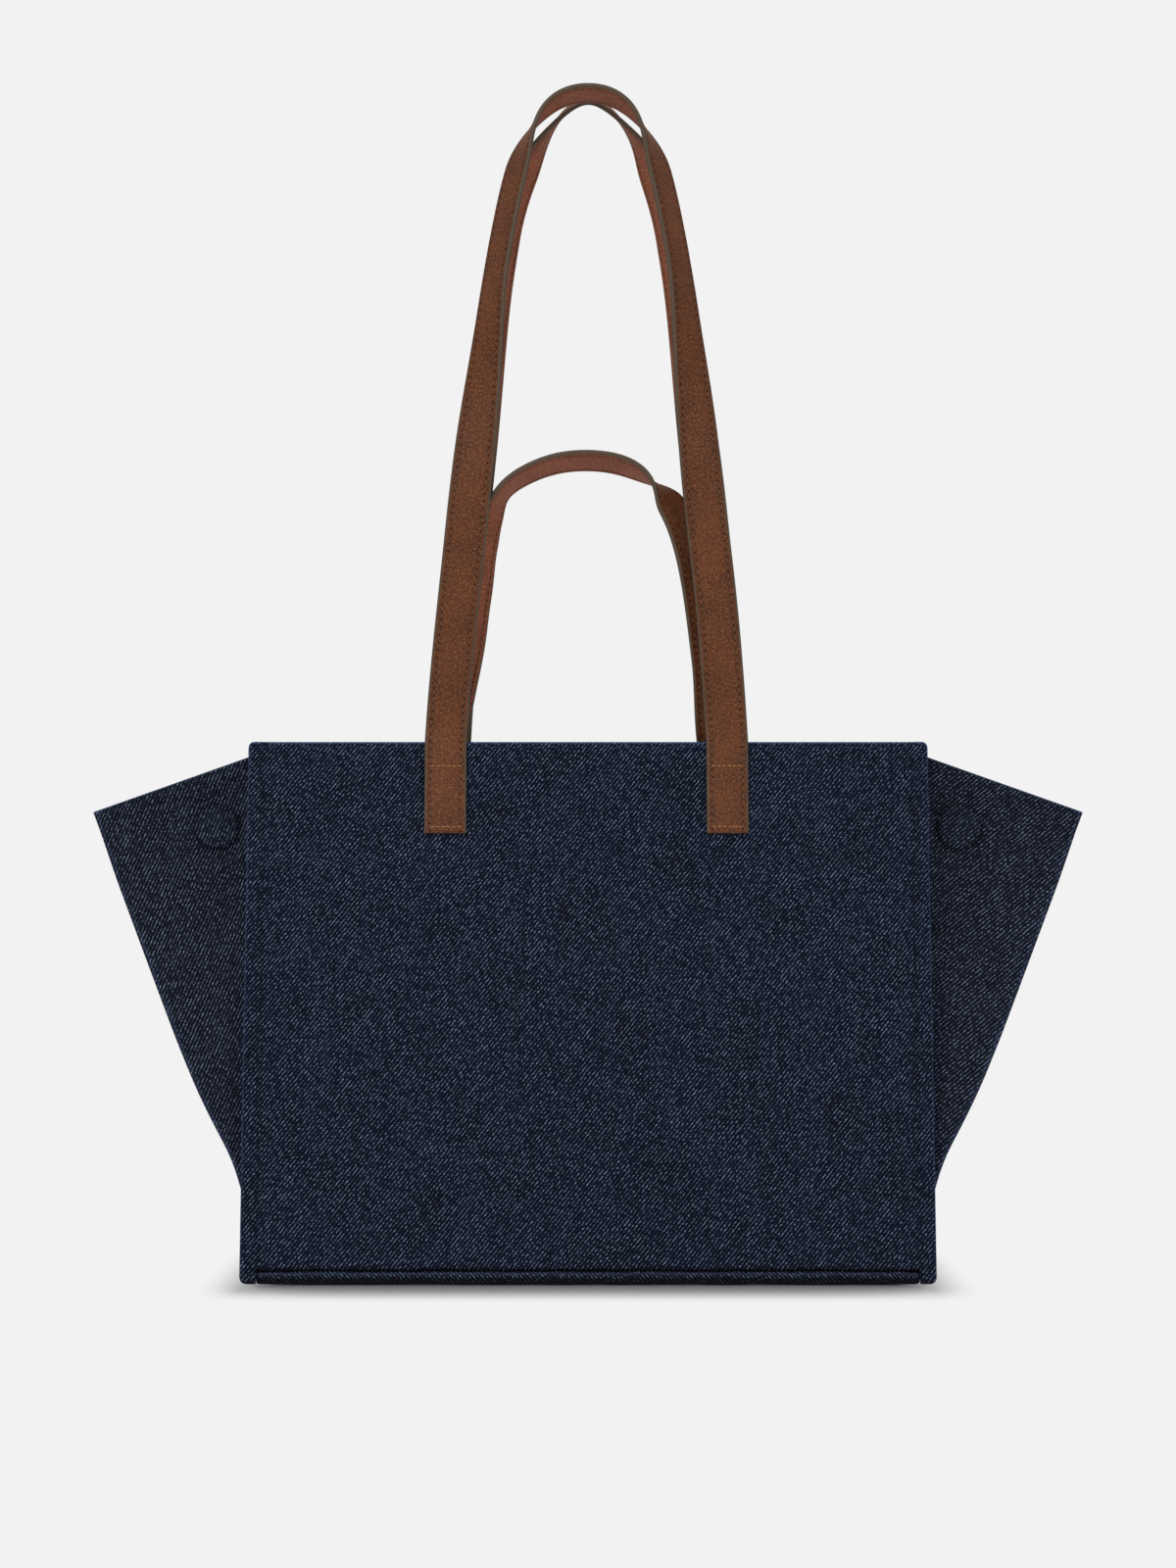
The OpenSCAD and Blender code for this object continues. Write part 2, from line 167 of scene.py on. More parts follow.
def ripple(x, y, size, seed):
    """Gentle unevenness between about -1 and 1: a few waves of a given size in mixed directions."""
    rng = np.random.default_rng(seed)
    total = np.zeros(np.broadcast(x, y).shape)
    for _ in range(RIPPLE_WAVES):
        angle = rng.uniform(0, 2 * np.pi)
        phase = rng.uniform(0, 2 * np.pi)
        wave = size * rng.uniform(0.6, 1.8)
        total = total + np.sin(2 * np.pi * (np.cos(angle) * x + np.sin(angle) * y) / wave + phase)
    return total / 4


def rolled(distance, radius):
    """How far a surface has turned in at a rounded edge, at a distance from that edge."""
    d = np.clip(distance, 0.04 * radius, radius)
    return radius - np.sqrt(radius ** 2 - (radius - d) ** 2)


def uneven(low, high, dense_at, fine, coarse):
    """Values from low to high, fine steps near the values in dense_at and coarse ones elsewhere."""
    values = [low]
    while values[-1] < high:
        near = min(abs(values[-1] - d) for d in dense_at)
        values.append(values[-1] + min(coarse, fine + max(0, near - 3 * fine) * 0.4))
    values[-1] = high
    return np.array(values)


print("edge steps:", len(uneven(0, 100, [0, 100], 0.5, 8)))

# %% [markdown]
# ## From points to pieces
#
# Cloth and leather are thin closed forms. A sheet is two grids of points, its outer and its inner face,
# joined around the border. Each point also carries its place on the flat cloth in millimetres, called
# grain, so a weave or a leather grain stays on the piece when it bends. A second value marks rubbed or
# dyed edges, and also painted highlight where it is positive and painted shade where it is negative.

# %% Mesh tools
def grid_faces(rows, columns, ring=False):
    """The quads of a grid of points stored row by row. With ring, each row closes on itself."""
    last = columns if ring else columns - 1
    return [(r * columns + c, r * columns + (c + 1) % columns, (r + 1) * columns + (c + 1) % columns,
             (r + 1) * columns + c) for r in range(rows - 1) for c in range(last)]


def tube_faces(rows, columns):
    """The faces of a closed tube: its rings of quads and a cap at each end."""
    last = (rows - 1) * columns
    caps = [tuple(range(columns)), tuple(range(last + columns - 1, last - 1, -1))]
    return grid_faces(rows, columns, ring=True) + caps


def repeat_faces(faces, step, count):
    """One small part's faces, repeated for a number of parts whose points follow each other."""
    return [tuple(i + step * k for i in face) for k in range(count) for face in faces]


def add_object(name, data):
    """A new object in the scene."""
    thing = bpy.data.objects.new(name, data)
    bpy.context.scene.collection.objects.link(thing)
    return thing


def make_piece(name, points, faces, finishes, grain, wear_and_painted_light=None, finish_of=None, sharp=50):
    """A closed mesh object from millimetre points, with its finishes and its place on the flat cloth."""
    points = np.asarray(points, float).reshape(-1, 3)
    wear_and_painted_light = np.zeros(len(points)) if wear_and_painted_light is None else wear_and_painted_light
    mesh = bpy.data.meshes.new(name)
    mesh.from_pydata((points * MM).tolist(), [], faces)
    for finish in finishes:
        mesh.materials.append(finish)
    if finish_of is not None:
        mesh.polygons.foreach_set("material_index", np.asarray(finish_of, np.int32))
    flat = mesh.attributes.new("grain", "FLOAT_VECTOR", "POINT")
    flat.data.foreach_set("vector", np.asarray(grain, np.float32).ravel())
    # This value carries rubbed edges, painted highlight and painted shade.
    rub_and_painted_light = mesh.attributes.new("wear_and_painted_light", "FLOAT", "POINT")
    rub_and_painted_light.data.foreach_set("value", np.asarray(wear_and_painted_light, np.float32).ravel())
    shape = bmesh.new()
    shape.from_mesh(mesh)
    bmesh.ops.recalc_face_normals(shape, faces=shape.faces)
    shape.to_mesh(mesh)
    shape.free()
    mesh.shade_smooth()
    mesh.set_sharp_from_angle(angle=math.radians(sharp))
    return add_object(name, mesh)


def make_sheet(name, outer, inner, finishes, grain, wear_and_painted_light=None, inner_finish=0):
    """A sheet of cloth with some thickness: outer and inner are grids of points of the same shape."""
    rows, columns = outer.shape[:2]
    count = rows * columns
    face = grid_faces(rows, columns)
    border = list(range(columns))
    border += [r * columns + columns - 1 for r in range(1, rows)]
    border += [(rows - 1) * columns + c for c in range(columns - 2, -1, -1)]
    border += [r * columns for r in range(rows - 2, 0, -1)]
    rim = [(a, b, b + count, a + count) for a, b in zip(border, border[1:] + border[:1])]
    faces = face + [tuple(i + count for i in reversed(f)) for f in face] + rim
    finish_of = [0] * len(face) + [inner_finish] * len(face) + [0] * len(rim)
    points = np.concatenate([outer.reshape(-1, 3), inner.reshape(-1, 3)])
    wear_and_painted_light = np.zeros(2 * count) if wear_and_painted_light is None else np.tile(wear_and_painted_light.ravel(), 2)
    return make_piece(name, points, faces, finishes, np.tile(grain.reshape(-1, 3), (2, 1)), wear_and_painted_light, finish_of)


def settle(piece, body, slot, *nodes):
    """The piece rides on a body and stands for the named CAD pieces. Its slot is not used."""
    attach(piece, body)
    if nodes:
        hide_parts(*nodes)
    print(piece.name, len(piece.data.polygons), "faces on", body)
    return piece


# %% [markdown]
# ## Thread
#
# A stitch is a short length of thread that rises out of one hole and dives into the next. Each is a little
# arched rod with its ends under the surface. A whole row is one mesh, made from the places of its stitches.

# %% Stitches
ROD_T = np.array([-1, -0.72, 0, 0.72, 1])
ROD_R = np.array([0.45, 0.9, 1, 0.9, 0.45])
ROD_SIDES = 5
ROD_SINK = 0.45
HOLE_SIDES = 8
HOLE_LIFT, HOLE_DEPTH = 0.05, 0.3


def make_stitches(name, centres, along, out, finish, length=2.7, radius=0.3, rise=0.25):
    """A row of stitches: their centres on the surface, the way that each runs and the way out of it."""
    along, out = (np.broadcast_to(unit(np.asarray(v, float)), centres.shape)[:, None] for v in (along, out))
    turn = circle(ROD_SIDES)[:, None]
    spoke = np.cross(along, out) * np.cos(turn) + out * np.sin(turn)
    lift = rise * (1 - ROD_T ** 2) - ROD_SINK * radius
    middle = centres[:, None] + along * (ROD_T * length / 2)[:, None] + out * lift[:, None]
    points = middle[:, :, None] + radius * ROD_R[:, None, None] * spoke[:, None]
    points = points.reshape(-1, 3)
    faces = repeat_faces(tube_faces(len(ROD_T), ROD_SIDES), len(ROD_T) * ROD_SIDES, len(centres))
    return make_piece(name, points, faces, [finish], points)


def make_hole_shade(name, centres, along, out, finish, length, width):
    """The needle holes of a row as painted shade: small dark spots a hair above the leather, for the shade
    in each hollow.
    """
    centres, along, out = centres[:, None], along[:, None], out[:, None]
    turn = circle(HOLE_SIDES)[:, None]
    ring = centres + out * HOLE_LIFT + along * (length / 2 * np.cos(turn))
    ring = ring + np.cross(along, out) * (width / 2 * np.sin(turn))
    points = np.concatenate([ring, ring - out * HOLE_DEPTH], axis=1).reshape(-1, 3)
    faces = repeat_faces(tube_faces(2, HOLE_SIDES), 2 * HOLE_SIDES, len(centres))
    return make_piece(name, points, faces, [finish], points)


# %% [markdown]
# ## Finishes
#
# A finish starts from the real material. Its colours are written as they look on a screen and turned to
# linear light by one function, and every pattern is scaled from a size in millimetres on the flat cloth.

# %% Material tools
def linear(code):
    """A screen colour such as #25335A as linear red, green, blue and alpha."""
    channels = [int(code[i:i + 2], 16) / 255 for i in (1, 3, 5)]
    return [c / 12.92 if c <= 0.04045 else ((c + 0.055) / 1.055) ** 2.4 for c in channels] + [1.0]


def add_node(tree, kind, inputs=(), **settings):
    """Adds a node, sets it up and fills its inputs with values or with other nodes' outputs."""
    node = tree.nodes.new(kind)
    for key, value in settings.items():
        setattr(node, key, value)
    for key, value in dict(inputs).items():
        if isinstance(value, bpy.types.NodeSocket):
            tree.links.new(value, node.inputs[key])
        else:
            node.inputs[key].default_value = value
    return node


def new_finish(name, roughness, **sockets):
    """A material with its shader, and the flat cloth's place and its marks of wear and painted light as
    outputs to build on.
    """
    finish = bpy.data.materials.new(name)
    finish.use_nodes = True
    tree = finish.node_tree
    shader = tree.nodes["Principled BSDF"]
    shader.inputs["Roughness"].default_value = roughness
    for key, value in sockets.items():
        shader.inputs[key.replace("_", " ")].default_value = value
    place = add_node(tree, "ShaderNodeAttribute", attribute_name="grain").outputs["Vector"]
    wear_and_painted_light = add_node(tree, "ShaderNodeAttribute", attribute_name="wear_and_painted_light").outputs["Fac"]
    return finish, tree, shader, place, wear_and_painted_light


def arithmetic(tree, operation, *values, **settings):
    """The outcome of one step of arithmetic on numbers or other nodes' outputs."""
    return add_node(tree, "ShaderNodeMath", enumerate(values), operation=operation, **settings).outputs[0]


def vector_step(tree, operation, *values, output=0):
    """The same with vectors. Its output is Value where the outcome is a number."""
    return add_node(tree, "ShaderNodeVectorMath", enumerate(values), operation=operation).outputs[output]


def noise(tree, place, scale, detail, roughness=0.5):
    """Soft random marks around 0.5, at a scale given in marks per millimetre."""
    inputs = {"Vector": place, "Scale": scale, "Detail": detail, "Roughness": roughness}
    return add_node(tree, "ShaderNodeTexNoise", inputs).outputs["Fac"]


def spread(tree, value, low, high, to_low=0.0, to_high=1.0, **settings):
    """A value between low and high, stretched to lie between two other numbers."""
    inputs = {"Value": value, "From Min": low, "From Max": high, "To Min": to_low, "To Max": to_high}
    return add_node(tree, "ShaderNodeMapRange", inputs, **settings).outputs[0]


def mixed(tree, share, low, high):
    """A colour between two others, each a screen colour or another node's output."""
    low, high = (linear(colour) if isinstance(colour, str) else colour for colour in (low, high))
    return add_node(tree, "ShaderNodeMix", {0: share, 6: low, 7: high}, data_type="RGBA").outputs[2]


def link_surface(tree, shader, colour, height, strength, depth):
    """Gives a shader its colour and its relief, whose depth is in millimetres."""
    inputs = {"Height": height, "Strength": strength, "Distance": depth * MM}
    tree.links.new(colour, shader.inputs["Base Color"])
    tree.links.new(add_node(tree, "ShaderNodeBump", inputs).outputs[0], shader.inputs["Normal"])


# %% [markdown]
# ### Denim
#
# Denim is a twill: dark blue warp over pale weft, in ridges that climb to the right. The eye sees fine
# slanting lines broken by pale flecks, faint upright streaks from uneven yarn, and paler, bluer cloth where
# an edge has rubbed. The lines are 1.75 mm apart, a little coarser than the weave, so that they show. The
# same paler cloth is also painted on as a highlight, and near black is painted on as shade in grooves.

# %% Denim
TWILL_PITCH = 1.75
TWILL_ANGLE = 52


def make_denim(name, dark, mid, fleck, rubbed_and_highlight):
    """Indigo twill, with its yarns laid out from the cloth's own millimetres."""
    finish, tree, shader, place, wear_and_painted_light = new_finish(name, 0.9, Sheen_Weight=0.02, Sheen_Roughness=0.5,
                                                   Specular_IOR_Level=0.06)
    run = (math.cos(math.radians(TWILL_ANGLE)), math.sin(math.radians(TWILL_ANGLE)), 0)
    ways = (run, (-run[1], run[0], 0))
    along, across = (vector_step(tree, "DOT_PRODUCT", place, way, output="Value") for way in ways)
    slow = arithmetic(tree, "MULTIPLY", along, 0.42)
    quick = arithmetic(tree, "MULTIPLY", across, 1.25)
    yarn_place = add_node(tree, "ShaderNodeCombineXYZ", {0: slow, 1: quick}).outputs[0]
    yarn = noise(tree, yarn_place, 1.0, 3.0, 0.7)
    shifted = arithmetic(tree, "MULTIPLY", yarn, 5.0)
    phase = arithmetic(tree, "MULTIPLY_ADD", across, 2 * math.pi / TWILL_PITCH, shifted)
    ridge = spread(tree, arithmetic(tree, "SINE", phase), -1.0, 1.0)
    streak = noise(tree, vector_step(tree, "MULTIPLY", place, (0.55, 0.02, 0.0)), 1.0, 2.0)
    cloud = noise(tree, place, 0.03, 3.0)
    tone = spread(tree, arithmetic(tree, "ADD", streak, cloud), 0.7, 1.3, -0.2, 0.2)
    colour = mixed(tree, arithmetic(tree, "MULTIPLY_ADD", ridge, 0.9, tone), dark, mid)
    speck = arithmetic(tree, "MULTIPLY", noise(tree, yarn_place, 1.6, 1.0), ridge)
    colour = mixed(tree, spread(tree, speck, 0.475, 0.585), colour, fleck)
    # Positive marks lighten the cloth: rubbed edges, and painted highlight on the welts and the magnets'
    # marks.
    rub_and_painted_light = arithmetic(tree, "MULTIPLY", wear_and_painted_light, yarn)
    colour = mixed(tree, spread(tree, rub_and_painted_light, 0.12, 0.6), colour, rubbed_and_highlight)
    # Negative marks are painted shade, near black, in seams and grooves, on the welts' lower halves and
    # tongues, and round the magnets' marks.
    shade = arithmetic(tree, "MULTIPLY", wear_and_painted_light, -0.75, use_clamp=True)
    colour = mixed(tree, shade, colour, "#05070D")
    link_surface(tree, shader, colour, arithmetic(tree, "ADD", ridge, yarn), 0.35, 0.25)
    return finish


denim = make_denim("indigo_denim", "#060910", "#171E33", "#727F99", "#465A84")
# A duller copy of the denim, painted for the shade on the set-back wings; the base, welts and gusset ends
# use it too.
wing_denim = make_denim("shaded_denim", "#090C15", "#1B202E", "#717C93", "#46567A")
print("denim ridges are", TWILL_PITCH, "mm apart")

# %% [markdown]
# ### Leather
#
# The straps are calf leather with a fine pressed grain, dyed brown and waxed, so they shine softly. The
# hide is a little uneven in colour. The cut edges are painted a dark olive brown, which gives a smooth
# rounded rim. The inner face is a thinner leather of a redder brown.

# %% Leather
GRAIN_SCALE = 1.3


def make_leather(name, deep, warm, pale, dark_line, roughness):
    """Fine grained leather, darker along the stitch channels and towards the rim, where the band marks it.
    """
    finish, tree, shader, place, wear_and_painted_light = new_finish(name, roughness, Specular_IOR_Level=0.22)
    hide = spread(tree, noise(tree, place, 0.07, 3.0), 0.3, 0.7)
    colour = mixed(tree, hide, deep, warm)
    grit = noise(tree, place, 0.8, 3.0, 0.85)
    colour = mixed(tree, spread(tree, grit, 0.46, 0.3, 0.0, 0.9), colour, dark_line)
    colour = mixed(tree, spread(tree, grit, 0.5, 0.68, 0.0, 0.9), colour, pale)
    colour = mixed(tree, arithmetic(tree, "MULTIPLY", wear_and_painted_light, 0.55), colour, dark_line)
    cells = add_node(tree, "ShaderNodeTexVoronoi", {"Vector": place, "Scale": GRAIN_SCALE}, feature="F1")
    height = arithmetic(tree, "ADD", cells.outputs["Distance"], grit)
    link_surface(tree, shader, colour, height, 0.35, 0.2)
    return finish


leather = make_leather("waxed_calf_leather", "#4A2612", "#623419", "#965C34", "#2A150A", 0.55)
backing = make_leather("backing_leather", "#763F29", "#925038", "#B87A5C", "#462619", 0.62)
print("leather grain is about", round(1 / GRAIN_SCALE, 1), "mm wide")

# %% [markdown]
# ### Edge paint, threads, lining, board and steel
#
# The smaller finishes are simpler, but none is one flat colour: paint has slight brush marks, thread has
# its twist, the lining its plain weave, the board its pressed fibres and the magnets their ground faces.

# %% Small finishes
LINING_PITCH = 0.8


def make_mottled(name, low, high, scale, roughness, depth=0.05, **sockets):
    """A finish that shifts between two near colours, at a scale given in marks per millimetre."""
    finish, tree, shader, place, _ = new_finish(name, roughness, **sockets)
    marks = noise(tree, place, scale, 3.0)
    link_surface(tree, shader, mixed(tree, marks, low, high), marks, 0.4, depth)
    return finish


def make_lining(name, low, high):
    """Plain woven cotton: threads over and under, drawn a little coarse so that they show."""
    finish, tree, shader, place, _ = new_finish(name, 0.85, Sheen_Weight=0.05, Specular_IOR_Level=0.15)
    parts = add_node(tree, "ShaderNodeSeparateXYZ", {0: place})
    phases = [arithmetic(tree, "MULTIPLY", parts.outputs[i], 2 * math.pi / LINING_PITCH) for i in (0, 1)]
    waves = [arithmetic(tree, "SINE", phase) for phase in phases]
    weave = spread(tree, arithmetic(tree, "MULTIPLY", *waves), -1.0, 1.0)
    link_surface(tree, shader, mixed(tree, weave, low, high), weave, 0.3, 0.1)
    return finish


edge_paint = make_mottled("edge_paint", "#43372A", "#5C4C3B", 0.5, 0.5, Specular_IOR_Level=0.3)
waxed = {"scale": 2.5, "roughness": 0.7, "depth": 0.15, "Specular_IOR_Level": 0.2}
brown_thread = make_mottled("waxed_brown_thread", "#6A4026", "#8A5836", **waxed)
tan_thread = make_mottled("waxed_tan_thread", "#8F5E36", "#B98552", **waxed)
# The needle holes are painted shade: near-black spots for the shade inside each hole.
hole_shade = make_mottled("hole_shade", "#0E0704", "#1A0E08", 2.0, 0.95, Specular_IOR_Level=0.0)
blue_thread = make_mottled("blue_thread", "#1B2640", "#34425F", 2.5, 0.8, 0.15, Specular_IOR_Level=0.15)
lining = make_lining("cotton_lining", "#10131D", "#20242F")
board = make_mottled("pressed_board", "#A08C6A", "#C2AE8A", 0.4, 0.75)
magnet_steel = make_mottled("nickelled_magnet", "#9CA0A6", "#C4C8CC", 0.8, 0.3, 0.02, Metallic=1.0)
print("finishes:", len(bpy.data.materials))

# %% [markdown]
# ## The two panels
#
# A panel is a board wrapped in denim: flat in the middle, with a soft rounded edge all round. A seam runs
# down each side where the lip is sewn, the top has a stitched fold, and at the bottom the lips end in
# small rounded corners that reach the floor. One function makes the shape, for the front and the back.

# %% Panel surface
SIDE_SEAM = 8.5
TOP_STITCH = 3.0
PANEL_STITCH = 3.6
SEAM_W, GROOVE_W = 1.5, 0.7
EAR_ZONE, TOP_ZONE = 14, 10
COVERED_DEPTH = 0.62
half_w = PANEL_W / 2
inner_x = half_w - LIP_W
lip_edge = inner_x + np.array([-0.25, 0.02])
columns = uneven(-half_w, half_w, [-half_w, -inner_x, inner_x, half_w], 0.45, 7)
columns = np.sort(np.concatenate([columns, -lip_edge, lip_edge]))
rows = uneven(SEAM_GAP, PANEL_H, [SEAM_GAP, PANEL_H - TOP_STITCH, PANEL_H], 0.5, 7)


def drop(distance, radius):
    """How far a rounded corner has fallen off, at a distance along it."""
    return radius - np.sqrt(radius ** 2 - np.clip(distance, 0, radius) ** 2)


def panel_grids():
    """Outer and inner face of a panel in its own frame, with its wear."""
    x, up = np.meshgrid(columns, rows)
    ax = np.abs(x)
    top = PANEL_H - drop(ax - (half_w - CORNER_R), CORNER_R)
    round_off = drop(ax - (half_w - EAR_R), EAR_R) + drop(inner_x + EAR_INNER_R - ax, EAR_INNER_R)
    hem_line = SEAM_GAP + 0.25 * (1 + ripple(x, 0 * x, 46, 17))
    bottom = np.where(ax > inner_x, np.minimum(-EAR_DROP + round_off, SEAM_GAP), hem_line)
    ear_up = bottom + (up - SEAM_GAP) * (EAR_ZONE - bottom) / (EAR_ZONE - SEAM_GAP)
    up = np.where(up < EAR_ZONE, ear_up, up)
    shoulder = PANEL_H - TOP_ZONE
    up = np.where(up > shoulder, top - (PANEL_H - up) * (top - shoulder) / TOP_ZONE, up)
    from_side, from_top, from_hem = half_w - ax, top - up, up - bottom
    edge = np.minimum(np.minimum(from_side, from_top), from_hem)
    roll = rolled(edge, PANEL_T / 2)
    seam = hill(from_side - SIDE_SEAM, SEAM_W)
    pull = 1 + 0.35 * np.sin(2 * np.pi * x / PANEL_STITCH)
    stitch = 0.28 * hill(from_top - TOP_STITCH, GROOVE_W) * pull
    padding = smooth(half_w - SIDE_SEAM - 6, half_w - SIDE_SEAM + 3, ax) * smooth(0, 2, from_side)
    waves = 0.22 * ripple(x, up, 70, 3) * smooth(0, 25, edge)
    outer = roll + 0.22 * seam + stitch - 0.35 * padding + waves + 0.1
    # Where the lining and the facing cover it, the turned cloth lies deeper, so it can't show through.
    covered = (ax < inner_x - 0.1) & (from_top > 1.4) & (from_hem > 1.4)
    inner = np.where(covered, PANEL_T - COVERED_DEPTH, PANEL_T - roll - 0.3 * (ax > inner_x))
    # Rubbed and lighter along the top and sides; painted shade in the side seam grooves and along the bottom
    # groove above the welt.
    wear_and_painted_light = 0.75 * hill(from_top, 1.6) + 0.6 * hill(from_side, 0.9) - 0.45 * seam - 0.8 * hill(from_hem, 1.0)
    return x, up, outer, np.minimum(inner, PANEL_T), np.clip(wear_and_painted_light, -1, 1)


for side, word in SIDES:
    x, up, outer, inner, wear_and_painted_light = panel_grids()
    panel = make_sheet(word + "_denim", on_side(side, x, outer, up), on_side(side, x, inner, up), [denim],
                       xyz(x, up, 0), wear_and_painted_light)
    settle(panel, word + "_side", "denim", word + "_panel")

# %% [markdown]
# The top fold is sewn with blue thread, 3 mm below the edge. The row shows on the outside, and its other
# side shows on the facing inside the mouth.

# %% Panel topstitching
stitch_x = np.arange(-half_w + 7, half_w - 7, PANEL_STITCH)
for side, word in SIDES:
    for face, inward, way in (("_top", 0.36, -1), ("_facing", PANEL_T + 0.1, 1)):
        out = on_side(side, 0, way, 0) - on_side(side, 0, 0, 0)
        row = make_stitches(word + face + "_stitches", on_side(side, stitch_x, inward, PANEL_H - TOP_STITCH),
                            [1, 0, 0], out, blue_thread)
        settle(row, word + "_side", "denim")

# %% [markdown]
# ## Inside: facing, lining and pocket
#
# The mouth is faced with a band of denim, which carries the short handle. Below it hangs a dark cotton
# lining, pinned at its edges and a little loose between them. A slip pocket is sewn to the back.

# %% Facing, lining and pocket
INNER_HALF = SEAM_X - LIE_GAP
INNER_FACE = 2.85
FACING_LOW = PANEL_H - FACING_H
POCKET_W, POCKET_H, POCKET_TOP = 180, 110, PANEL_H - SEWN_END - 3


def make_inner_sheet(name, side, slot, node, finish, x_half, low, high, front, thick, loose, seed):
    """A rectangle of cloth on a panel's inside, with its loose middle standing off a little."""
    word = "front" if side < 0 else "back"
    x, up = np.meshgrid(np.linspace(-x_half, x_half, 60), uneven(low, high, [low, high], 0.6, 6))
    edge = np.minimum(np.minimum(x_half - np.abs(x), high - up), up - low)
    face = front + loose * smooth(0, 30, edge) * (0.6 + 0.4 * ripple(x, up, 60, seed))
    roll = rolled(edge, thick / 2)
    sheet = make_sheet(name, on_side(side, x, face + roll, up), on_side(side, x, face + thick - roll, up),
                       [finish], xyz(x, up, 0), 0.5 * hill(high - up, 1.5))
    settle(sheet, word + "_side", slot, node)


for side, word in SIDES:
    make_inner_sheet(word + "_denim_facing", side, "denim", word + "_facing", denim, INNER_HALF,
                     FACING_LOW, PANEL_H - 0.8, INNER_FACE, 0.62, 0.0, 5)
    make_inner_sheet(word + "_cotton_lining", side, "lining", word + "_lining", lining, INNER_HALF,
                     2 * SEAM_GAP, FACING_LOW + 0.4, INNER_FACE, 0.5, 0.5, 8 + side)
make_inner_sheet("cotton_slip_pocket", 1, "lining", "inner_pocket", lining, POCKET_W / 2,
                 POCKET_TOP - POCKET_H, POCKET_TOP, PANEL_T, 0.7, 0.5, 21)

# %% Pocket stitching
POCKET_STITCH = 3.2
down = np.arange(POCKET_TOP - POCKET_H + 3, POCKET_TOP - 1, POCKET_STITCH)
wide = np.arange(-POCKET_W / 2 + 4, POCKET_W / 2 - 3, POCKET_STITCH)
pocket_side = POCKET_W / 2 - 2.5
pocket_rows = ((-pocket_side, down), (pocket_side, down), (wide, POCKET_TOP - POCKET_H + 2.5),
               (wide, POCKET_TOP - 9))
pocket_at = np.concatenate([on_side(1, x, PANEL_T + 0.75, up) for x, up in pocket_rows])
up_slope = on_side(1, 0, 0, 1) - on_side(1, 0, 0, 0)
pocket_along = np.array([up_slope] * (2 * len(down)) + [[1, 0, 0]] * (2 * len(wide)))
pocket_out = on_side(1, 0, 1, 0) - on_side(1, 0, 0, 0)
pocket_sewing = make_stitches("pocket_stitches", pocket_at, pocket_along, pocket_out, blue_thread,
                              length=2.3, radius=0.25, rise=0.2)
settle(pocket_sewing, "back_side", "lining")

# %% [markdown]
# ## The base
#
# The base is a board wrapped in denim, with a lining on top. Along its front and rear edges the spare cloth
# is rolled into a soft welt, which shows as a dark strip under the panel: its lower half is painted shade,
# and a painted highlight runs along its upper outer face. A welt is never dead straight, so its tube wavers
# a little.

# %% Base
base_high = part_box("base_cover")[1]
BASE_HALF_X, BASE_HALF_Y, BASE_TOP = (base_high[i] / MM for i in range(3))
base_x = uneven(-BASE_HALF_X, BASE_HALF_X, [-BASE_HALF_X, BASE_HALF_X], 0.5, 9)
base_y = uneven(-BASE_HALF_Y, BASE_HALF_Y, [-BASE_HALF_Y, BASE_HALF_Y], 0.5, 9)


def make_base_sheet(name, node, finish, slot, low, high, inset, radius):
    """A layer of the base's cloth between two heights, with its edges turned in."""
    half_x, half_y = BASE_HALF_X - inset, BASE_HALF_Y - inset
    x, y = np.meshgrid(base_x * (1 - inset / BASE_HALF_X), base_y * (1 - inset / BASE_HALF_Y))
    edge = np.minimum(half_x - np.abs(x), half_y - np.abs(y))
    roll = rolled(edge, radius)
    under = xyz(x, y, low + roll + 0.12 * (1 + ripple(x, y, 60, 4)) * smooth(0, 20, edge))
    upper = xyz(x, y, high - roll)
    sheet = make_sheet(name, under, upper, [finish], xyz(x, y, 0), 0.6 * np.exp(-edge / 1.5))
    settle(sheet, "bag_base", slot, node)


make_base_sheet("base_denim", "base_cover", wing_denim, "wing_denim", 0.0, BASE_TOP - 0.36, 0, 1.5)
make_base_sheet("base_cotton_lining", "base_lining", lining, "lining", BASE_TOP - 0.34, BASE_TOP + 0.02,
                0.6, 0.17)

# %% Welts
roll_low, roll_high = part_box("front_base_roll")
ROLL_R = (roll_high[2] - roll_low[2]) / MM / 2
ROLL_Y = abs(roll_high[1] + roll_low[1]) / MM / 2
WELT_END = SEAM_X + 0.4
WELT_SIDES = 20


def make_welt(name, node, side, seed):
    """A rolled strip of cloth along the base: a tube that wavers and thins to its ends."""
    x = uneven(-WELT_END, WELT_END, [-WELT_END, WELT_END], 0.5, 3)[:, None]
    turn = circle(WELT_SIDES)
    thinned = ROLL_R * (0.86 + 0.14 * smooth(0, 26, SEAM_X - np.abs(x)))
    size = thinned - 0.12 * (1 + ripple(x, 0 * x, 24, seed))
    size = size * np.sqrt(np.clip(1 - (1 - np.minimum(WELT_END - np.abs(x), 0.6) / 0.6) ** 2, 0.6, 1))
    y = side * ROLL_Y + size * np.cos(turn)
    z = np.maximum(ROLL_R + 0.1 * ripple(x, 0 * x, 33, seed + 1) + size * np.sin(turn), 0.02)
    # Painted highlight along the welt's upper outer face, and painted shade, near black, on its lower half.
    rub_and_painted_light = 0.5 * hill(turn - np.pi / 2 + side * np.pi / 4, 0.35) - 1.0 * (np.sin(turn) < 0.2)
    grain = xyz(x, turn * ROLL_R, 0)
    welt = make_piece(name, xyz(x, y, z), tube_faces(len(x), WELT_SIDES), [wing_denim], grain,
                      np.broadcast_to(rub_and_painted_light, y.shape))
    settle(welt, "bag_base", "wing_denim", node)


